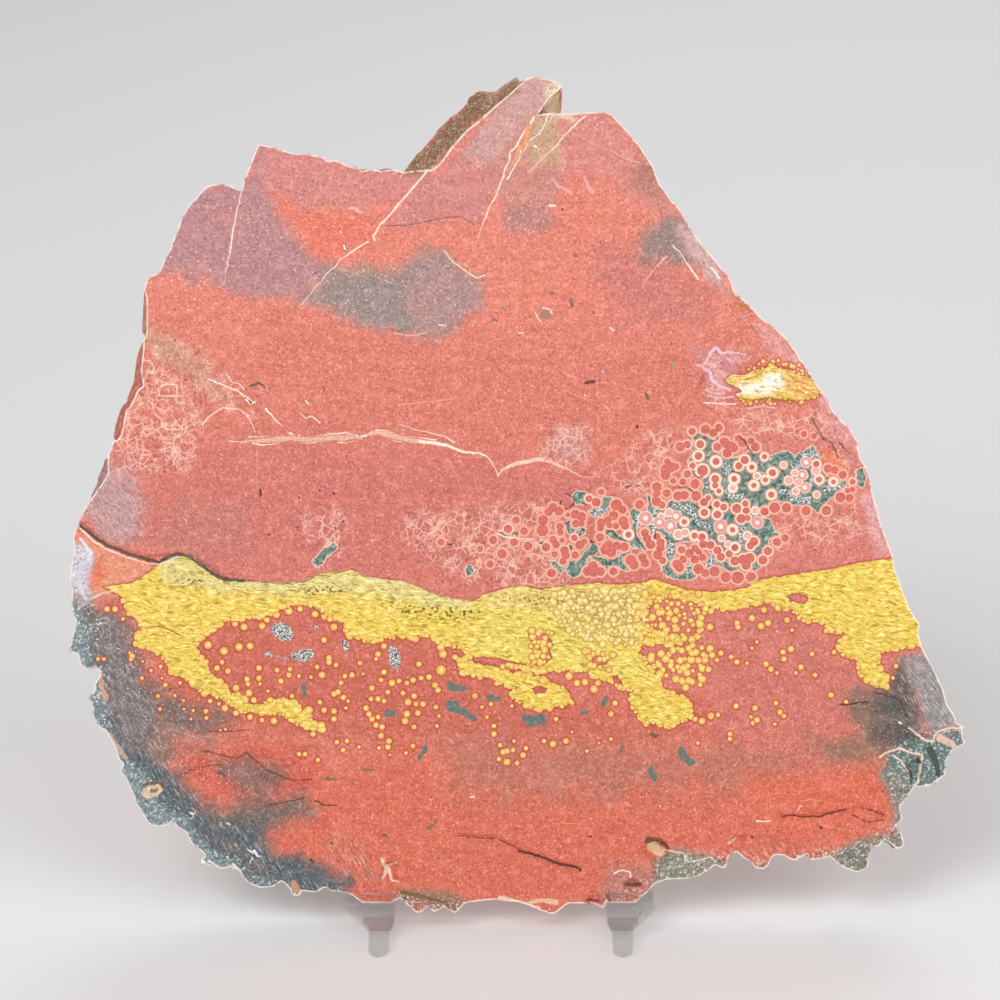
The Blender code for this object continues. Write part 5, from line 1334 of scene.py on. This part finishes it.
# %% Green-grey quartz: edged with cream between the orbs, dull below the band
LOW_QUARTZ = float(on_slab([500.0, 670.0])[0, 1])
wobble = wandering(stone, 1.1, 0.5)
orb = stroke_gap("orb", wandering(stone, 0.8, 0.16))
outer, core_radius = parts(attribute("orb_start"))[2], parts(attribute("orb_end"))[2]
core = orb + outer - core_radius
quartz = wire.node(
    "ShaderNodeValToRGB",
    {"stops": [(0.3, tone(44, 56, 54)), (0.43, tone(88, 112, 106)), (0.56, tone(128, 148, 136)),
               (0.7, tone(210, 214, 196))]},
    {"Fac": noise(stone, 0.7, 3.0, 0.65, 0.8)},
)
teal_edge = teal + border * 1.1
upper = parts(stone)[1].rises(LOW_QUARTZ, LOW_QUARTZ + 1.0)
cream = tone(247, 219, 196)
colour = colour.painted(cream, teal_edge.rises(0.3, 0.12) * (0.4 + grain * 0.6) * upper)
quartz = quartz.painted(tone(90, 114, 108), (1 - upper) * 0.75)
colour = colour.painted(quartz, teal_edge.rises(0.08, -0.08) * (0.74 + upper * 0.08 + grain * 0.4))
print("with the quartz:", len(wire.tree.nodes), "nodes")

# %% Drusy crystals: black and white sparks
druse = wire.node(
    "ShaderNodeValToRGB",
    {"stops": [(0.34, tone(18, 24, 26)), (0.46, tone(92, 108, 108)), (0.54, tone(190, 198, 194)),
               (0.62, tone(250, 252, 250))]},
    {"Fac": noise(stone, 0.34, 2.0, 0.7, 0.6)},
)
drusy_edge = drusy + border * 1.0
colour = colour.painted(druse, drusy_edge.rises(0.1, -0.1) * 0.92)

print("with the crystals:", len(wire.tree.nodes), "nodes")

# %% The yellow band: lumps of bright grains with olive seams
flow = wandering(stone, 4.5, 2.2)
worm = noise(stretched(flow, 3.4, FLOW_TURN), 0.4, 3.0, 0.62, 0.8)
lump = noise(stone, 1.9, 3.0, 0.6, 1.0)
band_edge = yellow + border * 1.0
band = shaded(attribute("band"), 0.98 + (worm - 0.5) * 0.8 + (grain - 0.5) * 0.5 + (fine - 0.5) * 0.4)
band = band.painted(tone(220, 160, 62), lump.rises(0.46, 0.32) * 0.4)
band = band.painted(tone(158, 128, 48), worm.rises(0.46, 0.36) * 0.7)
band = band.painted(tone(255, 242, 164), worm.rises(0.53, 0.64) * 0.8)
band = band.painted(tone(150, 120, 56), streak.rises(0.4, 0.3) * 0.4)
in_pits = (pits + border * 2.0).rises(0.4, -0.8)
band = band.painted(tone(84, 86, 40), in_pits * noise(stone, 0.62, 1.0, 0.5).rises(0.47, 0.38) * 0.9)
colour = colour.painted(tone(160, 52, 38), band_edge.rises(0.5, 0.1) * 0.6)
colour = colour.painted(band, band_edge.rises(0.06, -0.06))

print("with the band:", len(wire.tree.nodes), "nodes")

# %% Orbs: halo, ring, core with a darker skin
bold = attribute("orb_bold", "Fac")
free = (1 - band_edge.rises(0.1, -0.5)).most(bold)
by_band = band_edge.rises(0.9, 0.1) * (1 - bold)
colour = colour.painted(attribute("orb_halo"), orb.rises(0.4, 0.02) * free * 0.75)
ring_colour = shaded(attribute("orb_ring").painted(band, by_band * 0.85), 0.9 + grain * 0.2)
colour = colour.painted(ring_colour, orb.rises(0.05, -0.05) * (0.2 + free * 0.8))
core_colour = shaded(attribute("orb_colour"), texture * 0.92 + core.rises(-0.02, -0.4) * 0.1)
core_colour = core_colour.painted(band, by_band * 0.6)
colour = colour.painted(tone(236, 158, 138), core.rises(0.16, 0.04) * free * (1 - by_band) * 0.5)
colour = colour.painted(core_colour, core.rises(0.05, -0.05) * (0.2 + free * 0.8))

print("with the orbs:", len(wire.tree.nodes), "nodes")

# %% Veins and cracks
line_gap = (grain - 0.5) * 0.5
swell = 0.5 + noise(stone, 1.0, 4.0, 0.7)
vein = stroke_gap("vein", wobble, swell) + line_gap * 0.6 + 0.05
crack = stroke_gap("crack", wobble, swell) + line_gap * 0.6 + 0.03
vein_colour = shaded(attribute("vein_colour"), 1.0 + (grain - 0.5) * 0.9 + (fine - 0.5) * 0.4)
colour = colour.painted(vein_colour, vein.rises(0.07, -0.07) * (0.66 + grain * 0.5))
colour = colour.painted(attribute("crack_colour"), crack.rises(0.07, -0.07) * (0.5 + grain * 0.7))

print("with veins and cracks:", len(wire.tree.nodes), "nodes")

# %% The broken rim: duller, with cream and brown crust, and a painted highlight along the front edge
crust = noise(stone, 1.2, 5.0, 0.7, 0.4)
rind = shaded(ground_base, 0.55 + crust * 0.8)
rind = rind.painted(tone(112, 84, 64), crust.rises(0.5, 0.34) * 0.7)
rind = rind.painted(tone(226, 206, 176), crust.rises(0.53, 0.66) * 0.75)
rind = rind.painted(crystals, in_crust * 0.6)
colour = colour.painted(rind, broken)
# painted highlight: a pale, broken line along the front edge of the face stands in for light caught by the edge
painted_edge_highlight = edge_gap.rises(0.34, 0.14) * (1 - broken) * mottle.rises(0.3, 0.55)
colour = colour.painted(tone(252, 240, 230), painted_edge_highlight * 0.85)

print("with the rim:", len(wire.tree.nodes), "nodes")

# %% Roughness and relief
RELIEF = 0.0001
relief = grain * 0.4 + mottle * 0.3 + saw * in_frost * 0.5 + spark_value * in_crust * 0.9 + broken * crust * 4.0
bump = wire.node("ShaderNodeBump", inputs={"Strength": 0.6, "Distance": RELIEF, "Height": relief})
links = wire.tree.links
jasper_shader.inputs["Specular IOR Level"].default_value = 0.22
links.new(colour.socket, jasper_shader.inputs["Base Color"])
roughness = 0.36 + grain * 0.16 + broken * 0.28 + in_crust * 0.16
links.new(roughness.socket, jasper_shader.inputs["Roughness"])
links.new(bump.socket, jasper_shader.inputs["Normal"])
print("jasper has", len(wire.tree.nodes), "nodes")

# %% [markdown]
# ## The clear easel
# The stand is moulded from clear acrylic. Light goes through it, so its colour comes from what is behind it. Its
# edges are slightly round, and carry a painted shade: a grey, glossy, opaque shader mixed in on the rounded faces
# stands in for the dark lines that refraction makes along them.

# %% Merge the easel's faces and round its edges
SAME_PLACE, EDGE_RADIUS = 1e-6, 0.00028
FLAT_ANGLE, SHARP_ANGLE = np.radians(3), np.radians(24)
easel_mesh = bmesh.new()
easel_mesh.from_mesh(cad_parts["display_easel"].data)
bmesh.ops.remove_doubles(easel_mesh, verts=easel_mesh.verts, dist=SAME_PLACE)
bmesh.ops.dissolve_limit(easel_mesh, angle_limit=FLAT_ANGLE, verts=easel_mesh.verts, edges=easel_mesh.edges)
sharp = [side for side in easel_mesh.edges if side.is_manifold and side.calc_face_angle(0.0) > SHARP_ANGLE]
rounded_faces = set(
    bmesh.ops.bevel(easel_mesh, geom=sharp, offset=EDGE_RADIUS, segments=2, affect="EDGES", clamp_overlap=True)["faces"]
)
on_edge = [float(face in rounded_faces) for face in easel_mesh.faces]
moulded = bpy.data.meshes.new("clear_easel")
easel_mesh.to_mesh(moulded)
easel_mesh.free()
easel = bpy.data.objects.new("clear_easel", moulded)
bpy.context.scene.collection.objects.link(easel)
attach(easel, "root")
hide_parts("display_easel")
give(moulded, "rounded", "FACE", np.array(on_edge))
print("the easel has", len(moulded.polygons), "faces,", int(sum(on_edge)), "of them on rounded edges")

# %% Its material
acrylic, acrylic_shader, wire = new_material("clear_plastic")
for socket, value in {
    "Base Color": (0.97, 0.985, 0.985, 1.0), "Transmission Weight": 1.0, "IOR": 1.49, "Roughness": 0.04, "Alpha": 0.34,
}.items():
    acrylic_shader.inputs[socket].default_value = value
# painted shade: a grey opaque shader on the rounded edges stands in for the dark lines refraction makes there
painted_edge_shade = wire.node("ShaderNodeBsdfPrincipled", inputs={"Base Color": (0.3, 0.34, 0.37, 1.0), "Roughness": 0.06})
shared = attribute("rounded", "Fac") * 0.6
clear = wire.node("ShaderNodeMixShader", inputs={0: shared, 1: wire, 2: painted_edge_shade})
outlet = acrylic.node_tree.nodes["Material Output"].inputs["Surface"]
acrylic.node_tree.links.new(clear.socket, outlet)
moulded.materials.append(acrylic)
print("clear plastic has", len(wire.tree.nodes), "nodes")

# %% [markdown]
# ## A pale floor and soft light
# The floor is plain and pale, and large soft lights leave no hard shadow, as on a photographer's table.

# %% Floor
floor_mesh = bpy.data.meshes.new("floor")
FAR = 3.0
floor_mesh.from_pydata([(-FAR, -FAR, 0), (FAR, -FAR, 0), (FAR, FAR, 0), (-FAR, FAR, 0)], [], [(0, 1, 2, 3)])
floor = bpy.data.objects.new("floor", floor_mesh)
bpy.context.scene.collection.objects.link(floor)
pale, pale_shader, wire = new_material("pale_floor")
pale_shader.inputs["Base Color"].default_value = (0.85, 0.85, 0.86, 1.0)
pale_shader.inputs["Roughness"].default_value = 0.8
floor_mesh.materials.append(pale)
print("the floor is", 2 * FAR, "m wide")

# %% Lights


def soft_light(name, place, aim, size, power):
    """A square area light of that size in metres, turned towards a place."""
    lamp = bpy.data.lights.new(name, "AREA")
    lamp.size, lamp.energy = size, power
    made = bpy.data.objects.new(name, lamp)
    made.location = place
    made.rotation_euler = (Vector(aim) - Vector(place)).to_track_quat("-Z", "Y").to_euler()
    bpy.context.scene.collection.objects.link(made)


AIM = (0.0, 0.0, 0.07)
soft_light("key", (-0.55, -0.75, 0.85), AIM, 0.7, 8.2)
soft_light("fill", (0.75, -0.65, 0.6), AIM, 0.8, 5.2)
soft_light("back", (0.2, 0.9, 0.9), AIM, 0.8, 4.1)
world = bpy.data.worlds.new("studio")
world.use_nodes = True
backdrop = world.node_tree.nodes["Background"]
backdrop.inputs["Color"].default_value = (1.0, 0.985, 0.97, 1.0)
backdrop.inputs["Strength"].default_value = 0.31
bpy.context.scene.world = world
bpy.context.scene.view_settings.view_transform = "Standard"
print("three soft lights and a pale floor")

# %% [markdown]
